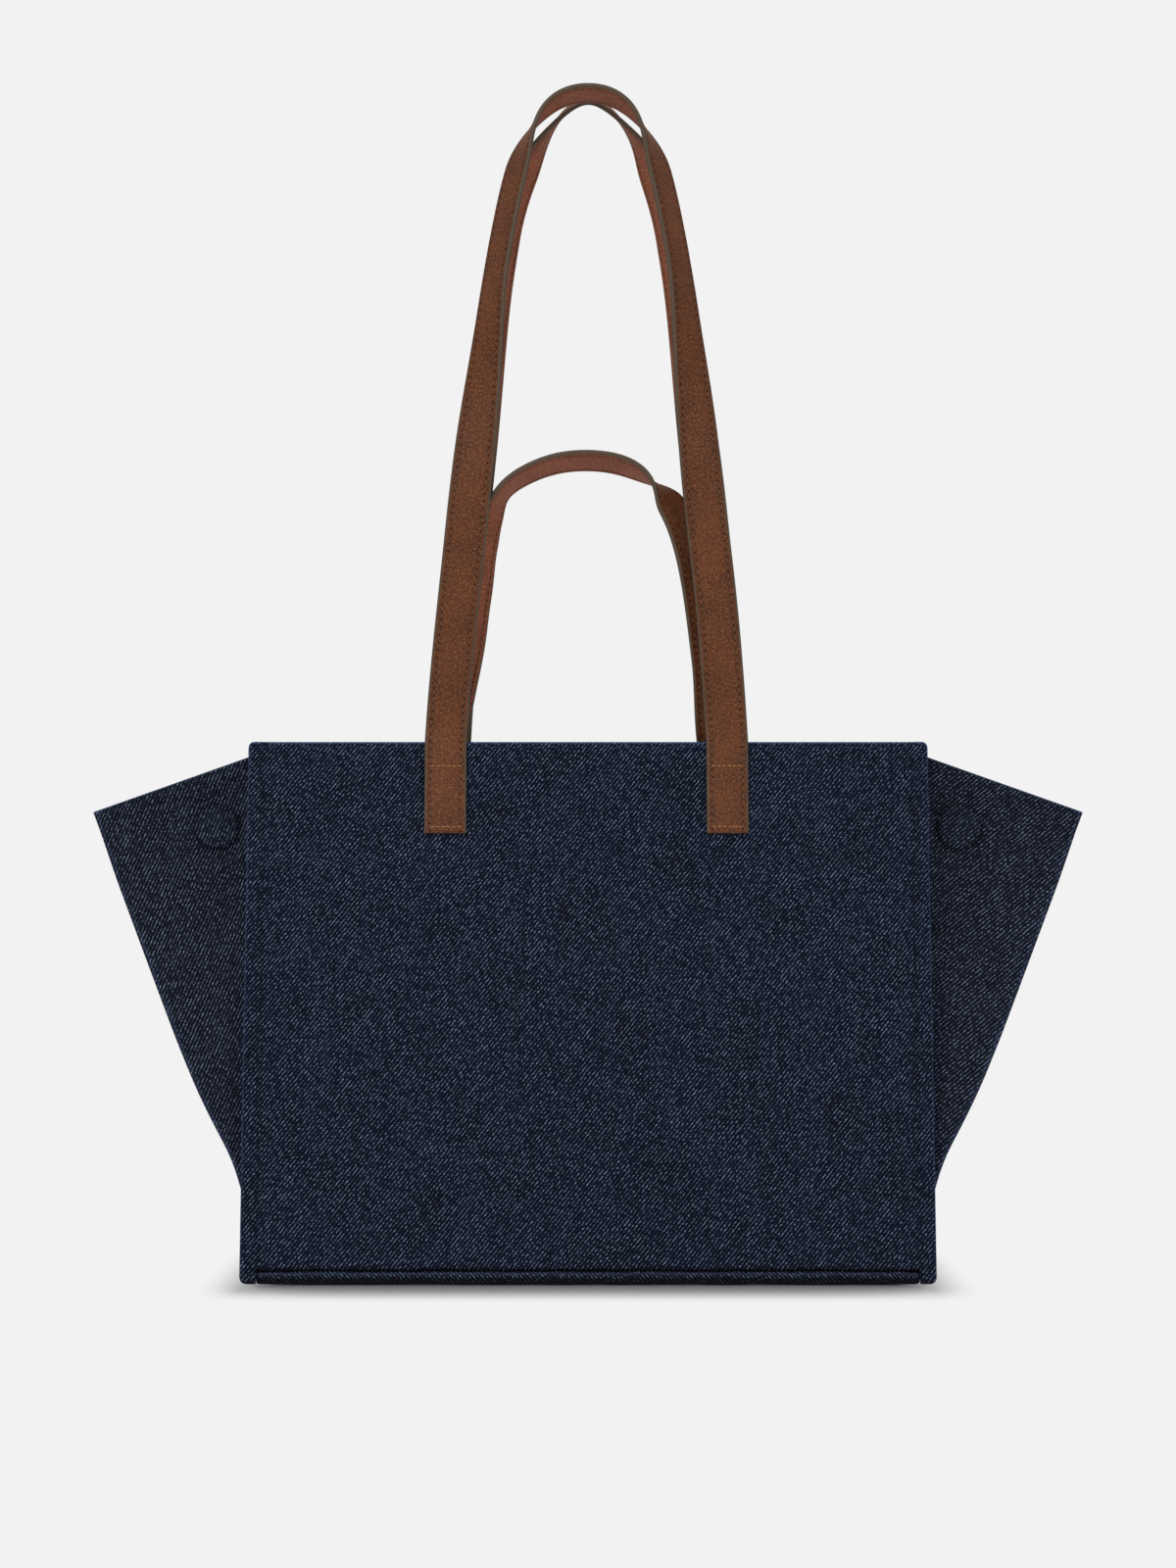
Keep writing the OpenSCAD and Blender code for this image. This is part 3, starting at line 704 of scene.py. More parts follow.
make_welt("front_welt", "front_base_roll", -1, 31)
make_welt("rear_welt", "rear_base_roll", 1, 37)
TONGUE_HALF, TONGUE_Y, TONGUE_T = SEAM_X + 1.2, 72.9, 0.5
TONGUE_LOW, TONGUE_HIGH, TONGUE_CUT = 3.0, 8.6, 10
# The tongues close the gap behind each welt: denim darkened all over with painted shade.
for side, word in ((-1, "front"), (1, "rear")):
    x, z = np.meshgrid(np.linspace(-TONGUE_HALF, TONGUE_HALF, 60), np.linspace(TONGUE_LOW, TONGUE_HIGH, 6))
    face = xyz(x, side * (TONGUE_Y - 0.12 * (1 + ripple(x, z, 30, 5))), z)
    tongue = make_sheet(word + "_shaded_welt_tongue", face, face - np.array([0, side * TONGUE_T, 0]), [wing_denim],
                        xyz(x, z, 0), np.full(x.shape, -0.6))
    settle(tongue, "bag_base", "wing_denim")

# %% [markdown]
# ## The wings
#
# Each side gusset is one soft piece of denim, folded outwards. Its front and rear parts run from the panels'
# side seams out to the fold, pinched together where the magnets hold them, and a triangle of the same
# cloth closes the end below. The surface is worked out from its three corners: the seam's low and high
# ends and the folded tip. It dips smoothly to the magnet, which presses a round mark into the cloth. The
# mark gets a painted highlight on its raised disc and painted shade in the groove round it.

# %% Wing surface
MAGNET_X, MAGNET_Z, MAGNET_R = 26.0, WING_TIP_Z - 7, 11.5
IMPRINT = 1.1
CREASE = 0.35
seam_low = on_side(-1, -SEAM_X, PANEL_T + GUSSET_GAP, 2.0)
seam_high = on_side(-1, -SEAM_X, PANEL_T + GUSSET_GAP, PANEL_H - WING_DROP)
wing_tip = np.array([-SEAM_X - WING_REACH, -2 - GUSSET_T, WING_TIP_Z + 1.2])
magnet_at = np.array([-SEAM_X - MAGNET_X, -2.55 - LIE_GAP - GUSSET_T, MAGNET_Z])
seam_length = np.linalg.norm(seam_high - seam_low)
leaf_cross = np.cross(seam_high - seam_low, wing_tip - seam_low)
leaf_normal = unit(leaf_cross) * np.sign(leaf_cross[1])
fold_out = np.cross(unit(wing_tip - seam_low), leaf_normal)
fold_out = fold_out * np.sign(-fold_out[0])
share_w = MAGNET_X / WING_REACH
share_t = (MAGNET_Z - seam_low[2] - share_w * (wing_tip[2] - seam_low[2])) / (seam_high[2] - seam_low[2])
shares = np.array([1 - share_w - share_t, share_t, share_w])
pinch = magnet_at[1] - shares @ np.array([seam_low[1], seam_high[1], wing_tip[1]])
print("the magnet pulls the cloth in by", round(pinch, 1), "mm")
FOLD_AT = [0, 0.05, 0.1, 0.15, 0.195, 0.2375, 0.302, 0.36, 0.411, 0.5, 0.627, 0.8456, 0.974, 1]
FOLD_IN = [0, -2.6, -4.9, -6.6, -7.4, -7.2, -4.8, -3.1, -2.1, -1.2, -0.7, 0.0, -0.5, -0.3]
fine_v = np.linspace(-0.2, 1.2, 701)
blur = hill(np.arange(-30, 31), 12)
fine_bulge = np.convolve(np.interp(fine_v, FOLD_AT, FOLD_IN), blur / blur.sum(), mode="same")


def fold_line(v):
    """The fold from the base to the tip: a straight line and how far the cloth stands off it."""
    v = v[..., None]
    return seam_low + v * (wing_tip - seam_low) + np.interp(v, fine_v, fine_bulge) * fold_out


def soft_min(a, b):
    """The smaller of two values, with the crease between them rounded off."""
    return np.minimum(a, b) - np.clip(CREASE - np.abs(a - b), 0, None) ** 2 / (4 * CREASE)


def from_magnet(points):
    """How far points lie from the magnet's middle, seen from the front."""
    return np.hypot(points[..., 0] - magnet_at[0], points[..., 2] - magnet_at[2])


def wing_surface(u, v):
    """The left front leaf's outer face: u runs from the seam to the fold, v from the base to the top."""
    seam = seam_low + v[..., None] * (seam_high - seam_low)
    points = seam * (1 - u[..., None]) + fold_line(v) * u[..., None]
    near = xyz(1 - v, v * (1 - u), v * u) / shares
    dip = soft_min(soft_min(near[..., 0], near[..., 1]), near[..., 2])
    away = from_magnet(points)
    waves = 0.5 * ripple(points[..., 0], points[..., 2], 48, 12) * smooth(10, 40, away)
    soft = points[..., 1] + pinch * np.clip(dip, 0, 1) - waves * np.clip(3 * dip, 0, 1)
    middle = magnet_at[1] - 0.15
    around = middle + (soft - middle) * smooth(MAGNET_R + 0.5, MAGNET_R + 9, away)
    points[..., 1] = around - IMPRINT * (1 - smooth(MAGNET_R - 1.2, MAGNET_R + 0.6, away))
    return points


# %% Wing pieces
HEM = 8.5
FOLD_R = 1.3
WING_TWILL = (-15, 13)
SEAM_RUN, FOLD_RUN = 272, 100


def joined(*parts):
    """Steps from several lists in one rising list, without steps that nearly coincide."""
    values = np.unique(np.concatenate(parts))
    return values[np.concatenate([[True], np.diff(values) > 0.0012])]


leaf_u = joined(uneven(0, 1, [0.0, 1.0], 0.008, 0.035), np.arange(0.15, 0.5, 0.011))
leaf_v = joined(np.linspace(0.012, 0.9, 60), uneven(0.905, 1.0, [0.985, 1.0], 0.0016, 0.01),
                np.arange(0.822, 0.942, 0.0036))
FOLD_TURN = np.radians([[18, 36, 54, 72, 90]]).T
FOLD_FLAP = np.array([[1.2, 2.4]]).T
FLAP_GAP = 0.1


def mirrored(points, right, rear):
    """A left front piece's points, put on the right or at the rear."""
    return points * np.array([-1.0 if right else 1.0, -1.0 if rear else 1.0, 1.0])


def wing_grids():
    """Outer and inner face of the left front leaf, with the turned fold, the flat cloth's place and wear."""
    u, v = np.meshgrid(leaf_u, leaf_v)
    face = wing_surface(u, v)
    top_edge = (1 - v) * seam_length * (1 - 0.1 * u)
    hem = 1 - smooth(HEM - 0.8, HEM + 0.8, top_edge)
    groove = 0.25 * hill(top_edge - TOP_STITCH, GROOVE_W)
    roll = rolled(top_edge, 0.8)
    outer = face + leaf_normal * (roll + groove - 0.35 * hem)[..., None]
    inner = face + leaf_normal * (GUSSET_T + 0.2 * hem - roll)[..., None]
    start = outer[:, -1:] + leaf_normal * FOLD_R
    room = np.clip((np.abs(outer[:, -1:, 1:2]) - 2.0) / 4, 0, 1)
    turned = start + FOLD_R * (np.sin(FOLD_TURN) * fold_out - np.cos(FOLD_TURN) * leaf_normal)
    flap = start + FOLD_R * (1 - 0.35 * FOLD_FLAP) * fold_out + leaf_normal * FOLD_FLAP * room
    under = np.tile(start + leaf_normal * FLAP_GAP, (1, len(FOLD_TURN), 1))
    flap_under = start + leaf_normal * (FLAP_GAP + FOLD_FLAP * room) - 0.2 * fold_out
    outer = np.concatenate([outer, turned, flap], axis=1)
    inner = np.concatenate([inner, under, flap_under], axis=1)
    spare = 1 + 0.015 * np.arange(1, outer.shape[1] - u.shape[1] + 1)
    width = np.concatenate([u, np.tile(spare, (len(leaf_v), 1))], axis=1)
    tall = np.repeat(v[:, :1], width.shape[1], axis=1)
    grain = xyz(-outer[..., 0], outer[..., 2], 0)
    away = from_magnet(outer)
    wear_and_painted_light = 0.6 * hill((1 - tall) * SEAM_RUN, 1.6) + 0.4 * hill((1 - width) * tall * FOLD_RUN, 2.0)
    # Painted shade in a ring round the magnet's mark, and a painted highlight on the raised disc inside it.
    wear_and_painted_light = wear_and_painted_light - 0.9 * hill(away - MAGNET_R - 0.6, 0.9)
    wear_and_painted_light = wear_and_painted_light + 0.26 * (1 - smooth(MAGNET_R - 1, MAGNET_R, away))
    return outer, inner, grain, np.clip(wear_and_painted_light, -1, 1)


def turned_grain(grain, degrees, right):
    """The flat cloth's place, turned so that the twill climbs as it does on that wing."""
    x = grain[..., 0] * (1 if right else -1)
    c, s = math.cos(math.radians(degrees)), math.sin(math.radians(degrees))
    return xyz(c * x - s * grain[..., 1], s * x + c * grain[..., 1], grain[..., 2])


wing_outer, wing_inner, wing_grain, wing_wear_and_painted_light = wing_grids()
for word, right, rear in CORNERS:
    grain = turned_grain(wing_grain, WING_TWILL[right] * (-1 if rear else 1), right != rear)
    leaf = make_sheet(word + "_wing", mirrored(wing_outer, right, rear), mirrored(wing_inner, right, rear),
                      [wing_denim, lining], grain, wing_wear_and_painted_light, inner_finish=1)
    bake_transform(leaf)
    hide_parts(word + "_gusset", word + "_gusset_lining")

# %% [markdown]
# The wing's top fold is sewn like the panel's. Inside, each magnet sits under a round patch of lining,
# domed over the metal and flat around it.

# %% Wing stitches and magnet patches
ROW_LENGTH = 262
PATCH_R = 11.5
PATCH_SIDES = 32
row_u = np.arange(0.06, 0.97, PANEL_STITCH / WING_REACH)
row_at = wing_surface(row_u, np.full_like(row_u, 1 - TOP_STITCH / ROW_LENGTH))
row_along = unit(np.gradient(row_at, axis=0))
ring_r = np.array([[0.0, 0.35, 0.7, 0.8, 0.86, 0.92, 1.0]]).T * PATCH_R
ring_y = np.array([[-0.28, -0.28, -0.3, -0.5, -1.6, -2.3, -2.62]]).T
ring_turn = circle(PATCH_SIDES)
disc = xyz(magnet_at[0] + ring_r * np.cos(ring_turn), ring_y, magnet_at[2] + ring_r * np.sin(ring_turn))
disc = disc.reshape(-1, 3)
patch_points = np.concatenate([disc, disc - [0, 0.25, 0]])
patch_faces = grid_faces(len(ring_r), PATCH_SIDES, ring=True)
patch_faces += [tuple(i + len(disc) for i in face) for face in patch_faces]
rim_start = len(disc) - PATCH_SIDES
for i in range(PATCH_SIDES):
    here, after = rim_start + i, rim_start + (i + 1) % PATCH_SIDES
    patch_faces.append((here, after, after + len(disc), here + len(disc)))
for word, right, rear in CORNERS:
    for face, shift, way in (("outer", 0.12, -1), ("inner", GUSSET_T + 0.1, 1)):
        sewing = make_stitches(word + "_wing_" + face + "_stitches",
                               mirrored(row_at + leaf_normal * shift, right, rear),
                               mirrored(row_along, right, rear), mirrored(leaf_normal * way, right, rear),
                               blue_thread, radius=0.28)
        settle(sewing, word + "_wing", "wing_denim")
    patch = make_piece(word + "_magnet_patch", mirrored(patch_points, right, rear), patch_faces, [lining],
                       patch_points[:, [0, 2, 1]])
    settle(patch, word + "_wing", "lining", word + "_magnet_cover")

# %% [markdown]
# The end of the gusset is the triangle between the two folds. The cloth is a little slack there, so it
# hollows inwards between its edges, with one soft crease down the middle.

# %% Gusset ends
END_SLACK, END_CREASE, END_HALF = 5.0, 0.8, 69.6


def make_gusset_end(word, right):
    """The cloth between the two folds, from the base up to the tip."""
    v = np.concatenate([[-0.02], np.linspace(0.0, 0.985, 56)])[:, None]
    across = np.linspace(-1, 1, 33)
    height = np.clip(v, 0, 1)
    fold = fold_line(height)[:, 0]
    half = np.clip(np.abs(fold[:, 1:2]) - GUSSET_T - 1.2, 0.9, END_HALF)
    slack = END_SLACK * np.sin(np.pi * height) * (1 - across ** 2) + END_CREASE * hill(across, 0.1) * height
    x = fold[:, :1] + 0.9 + slack * (half / 70) ** 0.5
    x[0] = -SEAM_X + 0.2
    y = half * across
    outer = xyz(x, y, np.where(v < 0, 4.5, fold[:, 2:]))
    inner = outer + np.array([1.3, 0, 0.35])
    end = make_sheet(word + "_gusset_cloth", mirrored(outer, right, False), mirrored(inner, right, False),
                     [wing_denim, lining], xyz(y, outer[..., 2], 0), inner_finish=1)
    settle(end, word + "_end_fold", "wing_denim", word + "_gusset_end", word + "_gusset_end_lining")


for word in ("left", "right"):
    make_gusset_end(word, word == "right")

# %% [markdown]
# ## Straps and handle
#
# A strap is two layers of leather, glued and sewn along both edges, then painted on the rim. It is swept
# along its path as one band whose section has a rounded rim and a shallow channel where the thread runs.
# At its foot the band is sewn flat to the panel, and above the cross stitch it is free and bends.

# %% Paths
FRONT_LOOP, REAR_LOOP = 339.5, 339.2
FRONT_ARCH, REAR_ARCH = 65, 74
FRONT_BOW, REAR_BOW = 0.00019, 0.0002
FRONT_FLAT, REAR_FLAT = 29, 15
LEG_START, LEG_SLOPE = 6, 0.06
LOOP_TILT, HANDLE_TILT = math.radians(14.5), math.radians(22)
HANDLE_X, HANDLE_LEFT, HANDLE_LOOP = 71.6, 3, 149.3
HANDLE_BENDS = (0.824, 0.79, 0.62)
STRAP_STAGES = ((0.3, 0.75, 0.62), (0.88, 1, 0.38))
LEFT_STAGES = ((0, 0.75, 0.5), (0.7, 0.93, 0.5))
RIGHT_STAGES = ((0, 0.8, 0.42), (0.84, 1, 0.58))
SLOPE_RUN, CURVE_R = 3, 30


def bezier(a, b, c, d, t):
    """A smooth curve from a to d, drawn towards b and c on its way."""
    return (1 - t) ** 3 * a + 3 * (1 - t) ** 2 * t * b + 3 * (1 - t) * t * t * c + t ** 3 * d


def turned_width(foot, share, stages, tilt, way_x, way_y):
    """The way across a band: level along its sewn foot, then turned by a quarter as its leg rises."""
    share = np.concatenate([np.zeros(len(foot)), share])
    turn = math.pi / 2 * sum(part * smooth(low, high, share) for low, high, part in stages)
    return xyz(way_x * np.cos(turn), way_y * np.sin(turn) * math.cos(tilt), np.sin(turn) * math.sin(tilt))


def foot_steps(count):
    """Places up the panel along a sewn end, with small steps where it starts."""
    start = PANEL_H - PATCH_LENGTH
    return np.concatenate([np.linspace(start, start + 2, 5), np.linspace(start + 4, PANEL_H, count)])


def band_run(centre, width, flip=1):
    """A path with, at each point, the way across the band and the way out of its outer face."""
    run = unit(np.gradient(centre, axis=0))
    width = unit(width - np.sum(width * run, axis=1, keepdims=True) * run)
    length = np.concatenate([[0], np.cumsum(np.linalg.norm(np.diff(centre, axis=0), axis=1))])
    out = flip * np.cross(width, run)
    return {"centre": centre, "run": run, "width": width, "out": out, "length": length}


def long_strap_run(side, top, arch, bow, flat):
    """A long strap: its sewn foot, a slightly bowed leg, the arch and the same back down."""
    def leg_x(h):
        return STRAP_X - LEG_SLOPE * h - bow * h ** 2

    up = foot_steps(22)
    lie = LIE_GAP * smooth(PANEL_H - STRAP_BEND - 6, PANEL_H - STRAP_BEND + 2, up)
    foot = on_side(side, -STRAP_X, -lie - STRAP_T / 2, up)
    t = np.linspace(0, 1, 120)
    bend_h = top - arch
    bend_x = leg_x(bend_h)
    rise = 0.5 * arch
    slope = LEG_SLOPE + 2 * bow * bend_h
    leg_h = LEG_START + (bend_h - LEG_START) * np.minimum(2 * t, 1)
    k = np.clip(2 * t - 1, 0, 1)
    x = np.where(t < 0.5, leg_x(leg_h), bezier(bend_x, bend_x - slope * rise, flat, 0, k))
    h = np.where(t < 0.5, leg_h, bezier(bend_h, bend_h + rise, top, top, k))
    curve = CURVE_R * LEAN_SIN
    c = np.clip((h - SLOPE_RUN) / curve, 0, 1)
    y = MOUTH_HALF + (LIE_GAP + STRAP_T / 2) * LEAN_COS
    y = y - LEAN_SIN / LEAN_COS * (SLOPE_RUN + curve * (c - c * c / 2))
    if side < 0:
        x = x + 1.6 * hill(h - 248, 38)
    width = turned_width(foot, h / top, STRAP_STAGES, LOOP_TILT, 1, side)
    half = np.concatenate([foot, xyz(-x, side * y, foot[-1, 2] + h)])
    centre, width = (np.concatenate([part, part[-2::-1] * [-1, 1, 1]]) for part in (half, width))
    # The photo's legs aren't quite alike: these shifts are read off their outlines, in millimetres.
    above = centre[:, 2] - foot[-1, 2]
    if side < 0:
        left, right = -1.6 * (1 - smooth(0, 110, above)), -1.3 * hill(above - 130, 50)
    else:
        left, right = 0, 1.6 * hill(above - 316, 18)
    x = centre[:, 0]
    centre[:, 0] += np.where(x < 0, left, np.where(x > 0, right, 0))
    return band_run(centre, width, flip=-side)


def short_handle_run():
    """The short handle, whose two legs turn and stand a little differently."""
    up = foot_steps(18)
    foot = on_side(1, -HANDLE_X, PANEL_T + STRAP_T / 2, up)
    t = np.linspace(0, 1, 90)[1:]
    x = bezier(HANDLE_X, HANDLE_BENDS[0] * HANDLE_X, HANDLE_BENDS[1] * HANDLE_X, 0, t)
    h = bezier(0, HANDLE_BENDS[2] * HANDLE_LOOP, HANDLE_LOOP, HANDLE_LOOP, t)
    reach = 2 * foot[-1, 1] * LEAN_COS / LEAN_SIN
    c = np.minimum(h, reach) / reach
    left_width, right_width = (turned_width(foot, h / HANDLE_LOOP, stages, HANDLE_TILT, -1, -1)
                               for stages in (LEFT_STAGES, RIGHT_STAGES))
    left = np.concatenate([foot, xyz(-x, foot[-1, 1] * (1 - 2 * c + c * c), foot[-1, 2] + h)])
    right = left[-2::-1] * [-1, 1, 1]
    risen, right_risen = left[:, 2] - foot[-1, 2], right[:, 2] - foot[-1, 2]
    left[:, 0] += 3 * smooth(10, 60, risen) - 3.2 * smooth(80, 118, risen) + 2.2 * smooth(125, 148, risen)
    left[:, 0] -= HANDLE_LEFT + 2.6 * hill(risen - 136, 9)
    right[:, 0] += 2.6 * smooth(0, 45, right_risen) - 0.6 * smooth(110, 148, right_risen) - HANDLE_LEFT
    return band_run(np.concatenate([left, right]), np.concatenate([left_width, right_width[-2::-1]]))


front_run = long_strap_run(-1, FRONT_LOOP, FRONT_ARCH, FRONT_BOW, FRONT_FLAT)
rear_run = long_strap_run(1, REAR_LOOP, REAR_ARCH, REAR_BOW, REAR_FLAT)
handle_run = short_handle_run()
for word, run in (("front strap", front_run), ("rear strap", rear_run), ("short handle", handle_run)):
    print(word, "is", round(run["length"][-1]), "mm of leather")

# %% [markdown]
# The section is drawn once, as half of its outer face from the rim to the middle. The other quarters are
# its mirror images. Faces near the rim take the edge paint, the rest leather outside and backing inside.

# %% Bands
CHANNEL, CHANNEL_FLOOR = 8.0, 1.02
RIM_AT = 10.1
half_section = [(-11.0, 0.0), (-10.93, 0.42), (-10.72, 0.8), (-10.4, 1.06), (-10.0, 1.2), (-9.3, 1.28),
                (-8.6, 1.2), (-CHANNEL, 1.0), (-7.4, 1.2), (-6.6, 1.29), (-3.0, 1.3)]
outer_section = half_section + [(-a, b) for a, b in reversed(half_section)]
section = np.array(outer_section + [(a, -b) for a, b in reversed(outer_section[1:-1])])
middle_a, middle_b = ((section + np.roll(section, -1, axis=0)) / 2).T
section_finish = np.where(np.abs(middle_a) > RIM_AT, 2, np.where(middle_b > 0, 0, 1))


def make_band(name, run):
    """The leather band along a run, its two ends slightly rounded."""
    length = run["length"][:, None]
    thin = 0.62 + 0.38 * smooth(0, 1.0, np.minimum(length, length[-1] - length))
    a, b = section[None, :, 0], section[:, 1] * thin
    centre, width, out = (run[key][:, None] for key in ("centre", "width", "out"))
    points = centre + a[..., None] * width + b[..., None] * out
    finish_of = list(np.tile(section_finish, len(length) - 1)) + [2, 2]
    wear_and_painted_light = hill(np.abs(a) - CHANNEL, 0.9) + 0.6 * smooth(9.0, 10.6, np.abs(a))
    return make_piece(name, points, tube_faces(len(length), len(section)), [leather, backing, edge_paint],
                      xyz(a, length, 20 * np.sign(b)), np.broadcast_to(wear_and_painted_light, b.shape), finish_of, 60)


def run_at(run, at, *keys):
    """The run's vectors at one or more lengths along it."""
    return [xyz(*(np.interp(at, run["length"], part) for part in run[key].T)) for key in keys]


def band_rows(run, first, last, pitch):
    """Places for stitches along both channels of a band, on its outer and inner face."""
    centre, along, width, out = run_at(run, np.arange(first, last, pitch), "centre", "run", "width", "out")
    rows = [(centre + s * CHANNEL * width + f * CHANNEL_FLOOR * out, along, f * out)
            for s in (-1, 1) for f in (-1, 1)]
    return [np.concatenate(part) for part in zip(*rows)]


def cross_rows(run, places, pitch=2.75):
    """Places for the stitches that run across a band, at the given lengths along it."""
    across = np.arange(-CHANNEL + pitch / 2, CHANNEL, pitch)[:, None]
    rows = []
    for place in places:
        centre, width, out = run_at(run, place, "centre", "width", "out")
        rows.append(np.broadcast_arrays(centre + across * width + STRAP_T / 2 * out, width, out))
    return [np.concatenate(part) for part in zip(*rows)]


# %% [markdown]
# Each band crosses one joint. Here the band is made as one fixed piece in the bag's frame, from its sewn
# foot over the loop, and the thread and its needle holes follow the leather.

# %% Sewn bands
EDGE_STITCH = 4.0
FIRST_STITCH, LAST_STITCH, CROSS_END = 3.0, 2.0, 3.2


def make_strap(word, ends, run):
    """One band with its sewing, made in the bag's frame in place of the named CAD pieces."""
    total = run["length"][-1]
    last = total - LAST_STITCH
    foot_cross = PATCH_LENGTH - STRAP_BEND
    band = make_band(word + "_leather", run)
    sewing = make_stitches(word + "_edge_stitches", *band_rows(run, FIRST_STITCH, last, EDGE_STITCH),
                           brown_thread, rise=0.12)
    holes = make_hole_shade(word + "_needle_hole_shade",
                       *band_rows(run, FIRST_STITCH - EDGE_STITCH / 2, last, EDGE_STITCH),
                       hole_shade, length=1.15, width=0.95)
    box = make_stitches(word + "_cross_stitches",
                        *cross_rows(run, [CROSS_END, foot_cross, total - foot_cross, total - CROSS_END]),
                        tan_thread, length=2.0, radius=0.32)
    for piece in (band, sewing, holes, box):
        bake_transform(piece)
        print(piece.name, len(piece.data.polygons), "faces")
    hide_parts(word, word + "_backing", ends + "_ends", ends + "_end_backings")


make_strap("front_strap", "front_strap", front_run)
make_strap("rear_strap", "rear_strap", rear_run)
make_strap("short_handle", "handle", handle_run)

# %% [markdown]
# ## Boards and magnets
#
# The stiff pieces keep their CAD shapes: the boards are sealed in the panels, and the magnets lie under
# their patches. They only need their finishes.

# %% Hidden hard pieces
hard = {"front_board": board, "back_board": board, "base_board": board}
hard.update({name: magnet_steel for name in frame["nodes"] if name.endswith("_magnet")})
for name, finish in hard.items():
    mesh = frame["nodes"][name].data
    mesh.materials.clear()
    mesh.materials.append(finish)
print(len(hard), "hard pieces finished")

# %% [markdown]
# ## Floor, light and camera
#
# The photograph is a plain studio shot: a pale grey-white ground, soft light from the front and above, and
# only a thin shadow where the bag stands. The floor shows its own pale colour to the camera, with a soft
# shadow painted into it near the bag, darker where the bag closes in on the floor and faded out at the
# sides. The camera is level, low and far away, as for a catalogue.

# %% Floor and background
PALE, SHADOW = "#F2F2F2", "#4A494F"
WORLD_LIGHT = 0.45


def split_for_camera(tree, lighting, seen, output):
    """Shows one shader to the camera, while everything else gets the other."""
    ray = add_node(tree, "ShaderNodeLightPath").outputs["Is Camera Ray"]
    mix = add_node(tree, "ShaderNodeMixShader", {0: ray, 1: lighting, 2: seen}).outputs[0]
    tree.links.new(mix, add_node(tree, output).inputs["Surface"])


floor_mesh = bpy.data.meshes.new("studio_floor")
floor_mesh.from_pydata([(-6, -4, 0), (6, -4, 0), (6, 6, 0), (-6, 6, 0)], [], [(0, 1, 2, 3)])
floor = add_object("studio_floor", floor_mesh)
floor_finish = bpy.data.materials.new("pale_floor")
floor_finish.use_nodes = True
tree = floor_finish.node_tree
tree.nodes.clear()
place = add_node(tree, "ShaderNodeTexCoord").outputs["Object"]
matt = add_node(tree, "ShaderNodeBsdfDiffuse", {"Color": [0.8, 0.8, 0.8, 1]}).outputs[0]
# Painted shadow: the camera sees the floor darken towards SHADOW where ambient occlusion finds the bag close
# by.
closeness = add_node(tree, "ShaderNodeAmbientOcclusion", {"Distance": 0.1}, samples=8).outputs["AO"]
closeness = arithmetic(tree, "POWER", closeness, 6.0)
sideways = arithmetic(tree, "ABSOLUTE", add_node(tree, "ShaderNodeSeparateXYZ", {0: place}).outputs[0])
clear = spread(tree, sideways, 0.155, 0.2, interpolation_type="SMOOTHSTEP")
tone = mixed(tree, arithmetic(tree, "MAXIMUM", closeness, clear), SHADOW, PALE)
floor_with_painted_shadow = add_node(tree, "ShaderNodeEmission", {"Color": tone, "Strength": 1.0}).outputs[0]
far_floor = add_node(tree, "ShaderNodeEmission", {"Color": linear(PALE), "Strength": 1.0}).outputs[0]
away = vector_step(tree, "LENGTH", vector_step(tree, "MULTIPLY", place, (2.0, 3.0, 0.0)), output="Value")
fade = spread(tree, away, 0.45, 0.9, interpolation_type="SMOOTHSTEP")
seen_floor = add_node(tree, "ShaderNodeMixShader", {0: fade, 1: floor_with_painted_shadow, 2: far_floor}).outputs[0]
split_for_camera(tree, matt, seen_floor, "ShaderNodeOutputMaterial")
floor_mesh.materials.append(floor_finish)
floor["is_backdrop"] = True

world = bpy.data.worlds.new("studio")
bpy.context.scene.world = world
world.use_nodes = True
tree = world.node_tree
tree.nodes.clear()
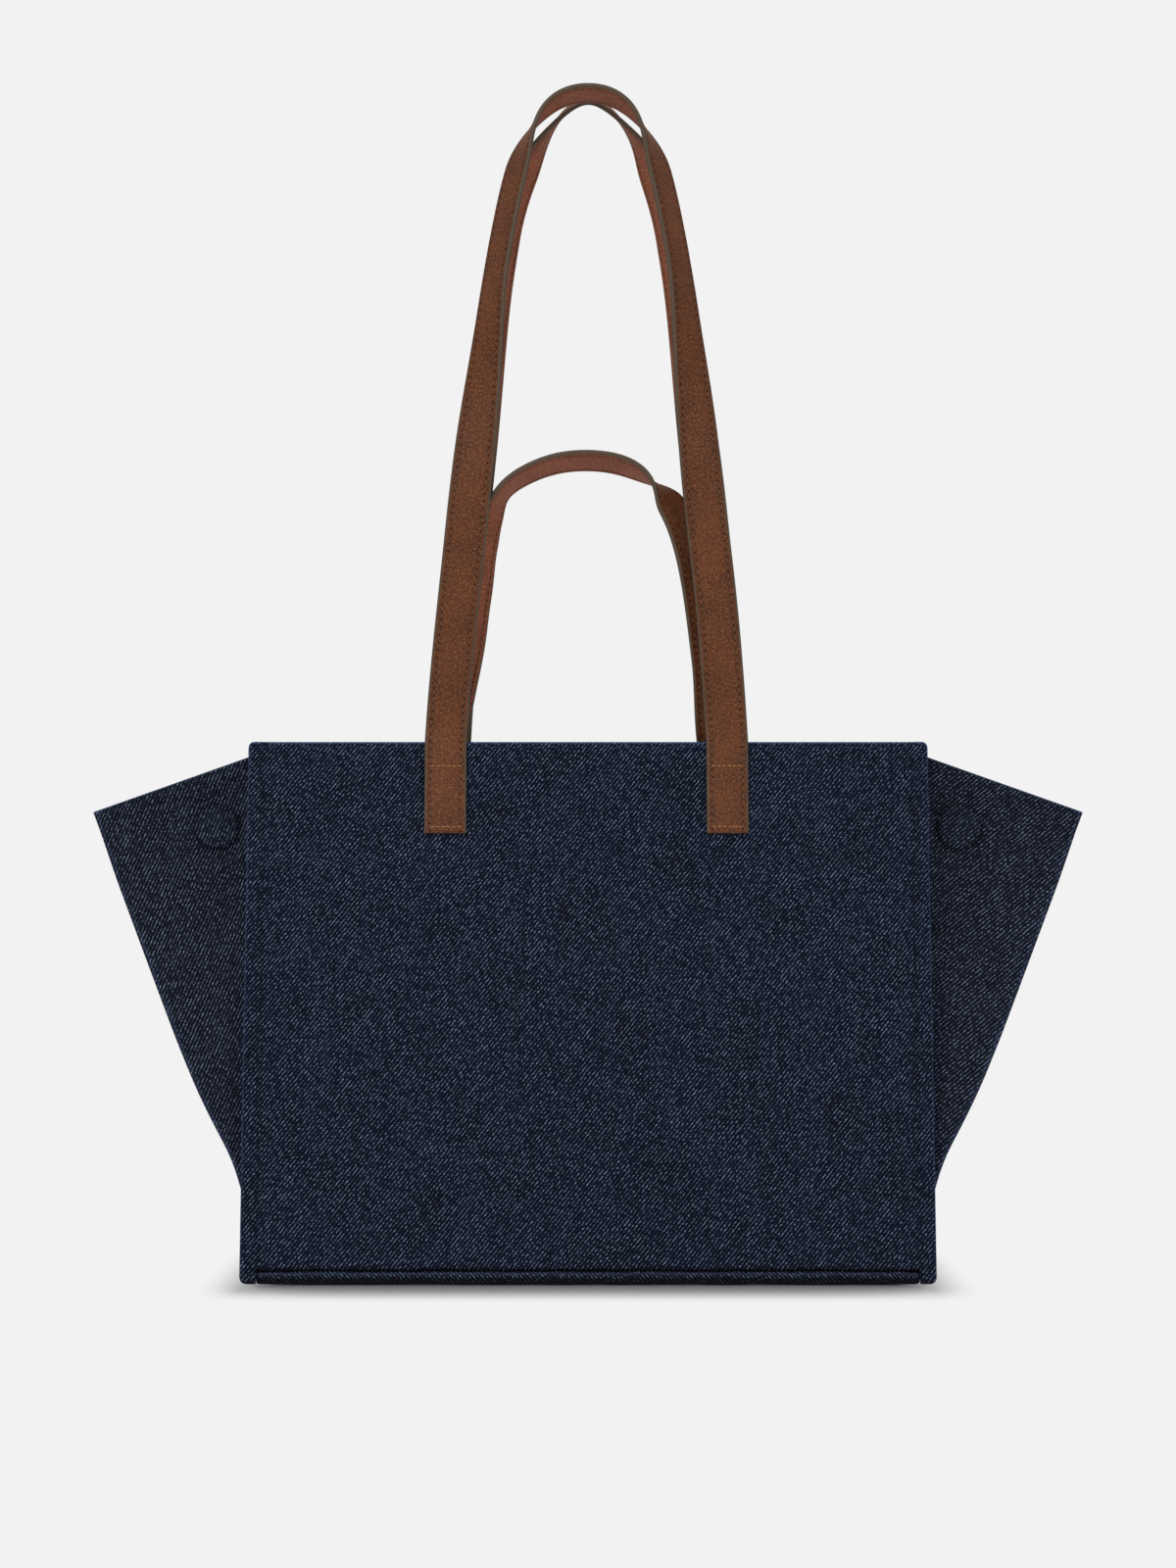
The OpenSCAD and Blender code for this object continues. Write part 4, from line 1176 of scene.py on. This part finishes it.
light = add_node(tree, "ShaderNodeBackground", {"Color": [1, 1, 1, 1], "Strength": WORLD_LIGHT}).outputs[0]
seen = add_node(tree, "ShaderNodeBackground", {"Color": linear(PALE), "Strength": 1.0}).outputs[0]
split_for_camera(tree, light, seen, "ShaderNodeOutputWorld")
print("floor and background are", PALE)

# %% Lamps and camera
LAMPS = (("key", (-1.3, -2.0, 1.7), 0.25, 1.4, 30), ("fill", (1.6, -1.8, 1.0), 0.25, 1.4, 12),
         ("top", (0.0, 0.3, 2.0), 0.2, 1.2, 12))
for name, place, aim_height, size, power in LAMPS:
    lamp = bpy.data.lights.new(name, "AREA")
    lamp.shape = "SQUARE"
    lamp.size = size
    lamp.energy = power
    holder = add_object(name, lamp)
    aim = np.array([0, 0, aim_height]) - place
    holder.location = place
    holder.rotation_euler = (math.atan2(math.hypot(aim[0], aim[1]), -aim[2]), 0, math.atan2(-aim[0], aim[1]))

PHOTO_H, FOCAL_PX, HORIZON_PX = 1600, 4800, 900
SENSOR = 36
CAMERA_AWAY, CAMERA_UP = 2.4, 0.206
camera_data = bpy.data.cameras.new("photo_camera")
camera_data.sensor_width = SENSOR
camera_data.lens = SENSOR * FOCAL_PX / PHOTO_H
camera_data.shift_y = (HORIZON_PX - PHOTO_H / 2) / PHOTO_H
camera_data.clip_end = 50
camera = add_object("photo_camera", camera_data)
camera.location = (0, -CAMERA_AWAY - BASE_D / 2 * MM, CAMERA_UP)
camera.rotation_euler = (math.pi / 2, 0, 0)
bpy.context.scene.camera = camera
bpy.context.scene.view_settings.view_transform = "Standard"
print("camera", round(camera_data.lens, 1), "mm, shift", camera_data.shift_y)

# %% [markdown]
# ## The size against the CAD model
#
# The dressed bag may stand a little proud of the CAD model, as cloth does, but not more. Both boxes are
# measured, and how far each side has grown is printed.

# %% Finish
visual_box = [list(corner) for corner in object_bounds()]
growth = [round((b - a) * 1000, 1) for a, b in zip(sum(cad_box, []), sum(visual_box, []))]
print("grown by", growth, "mm")
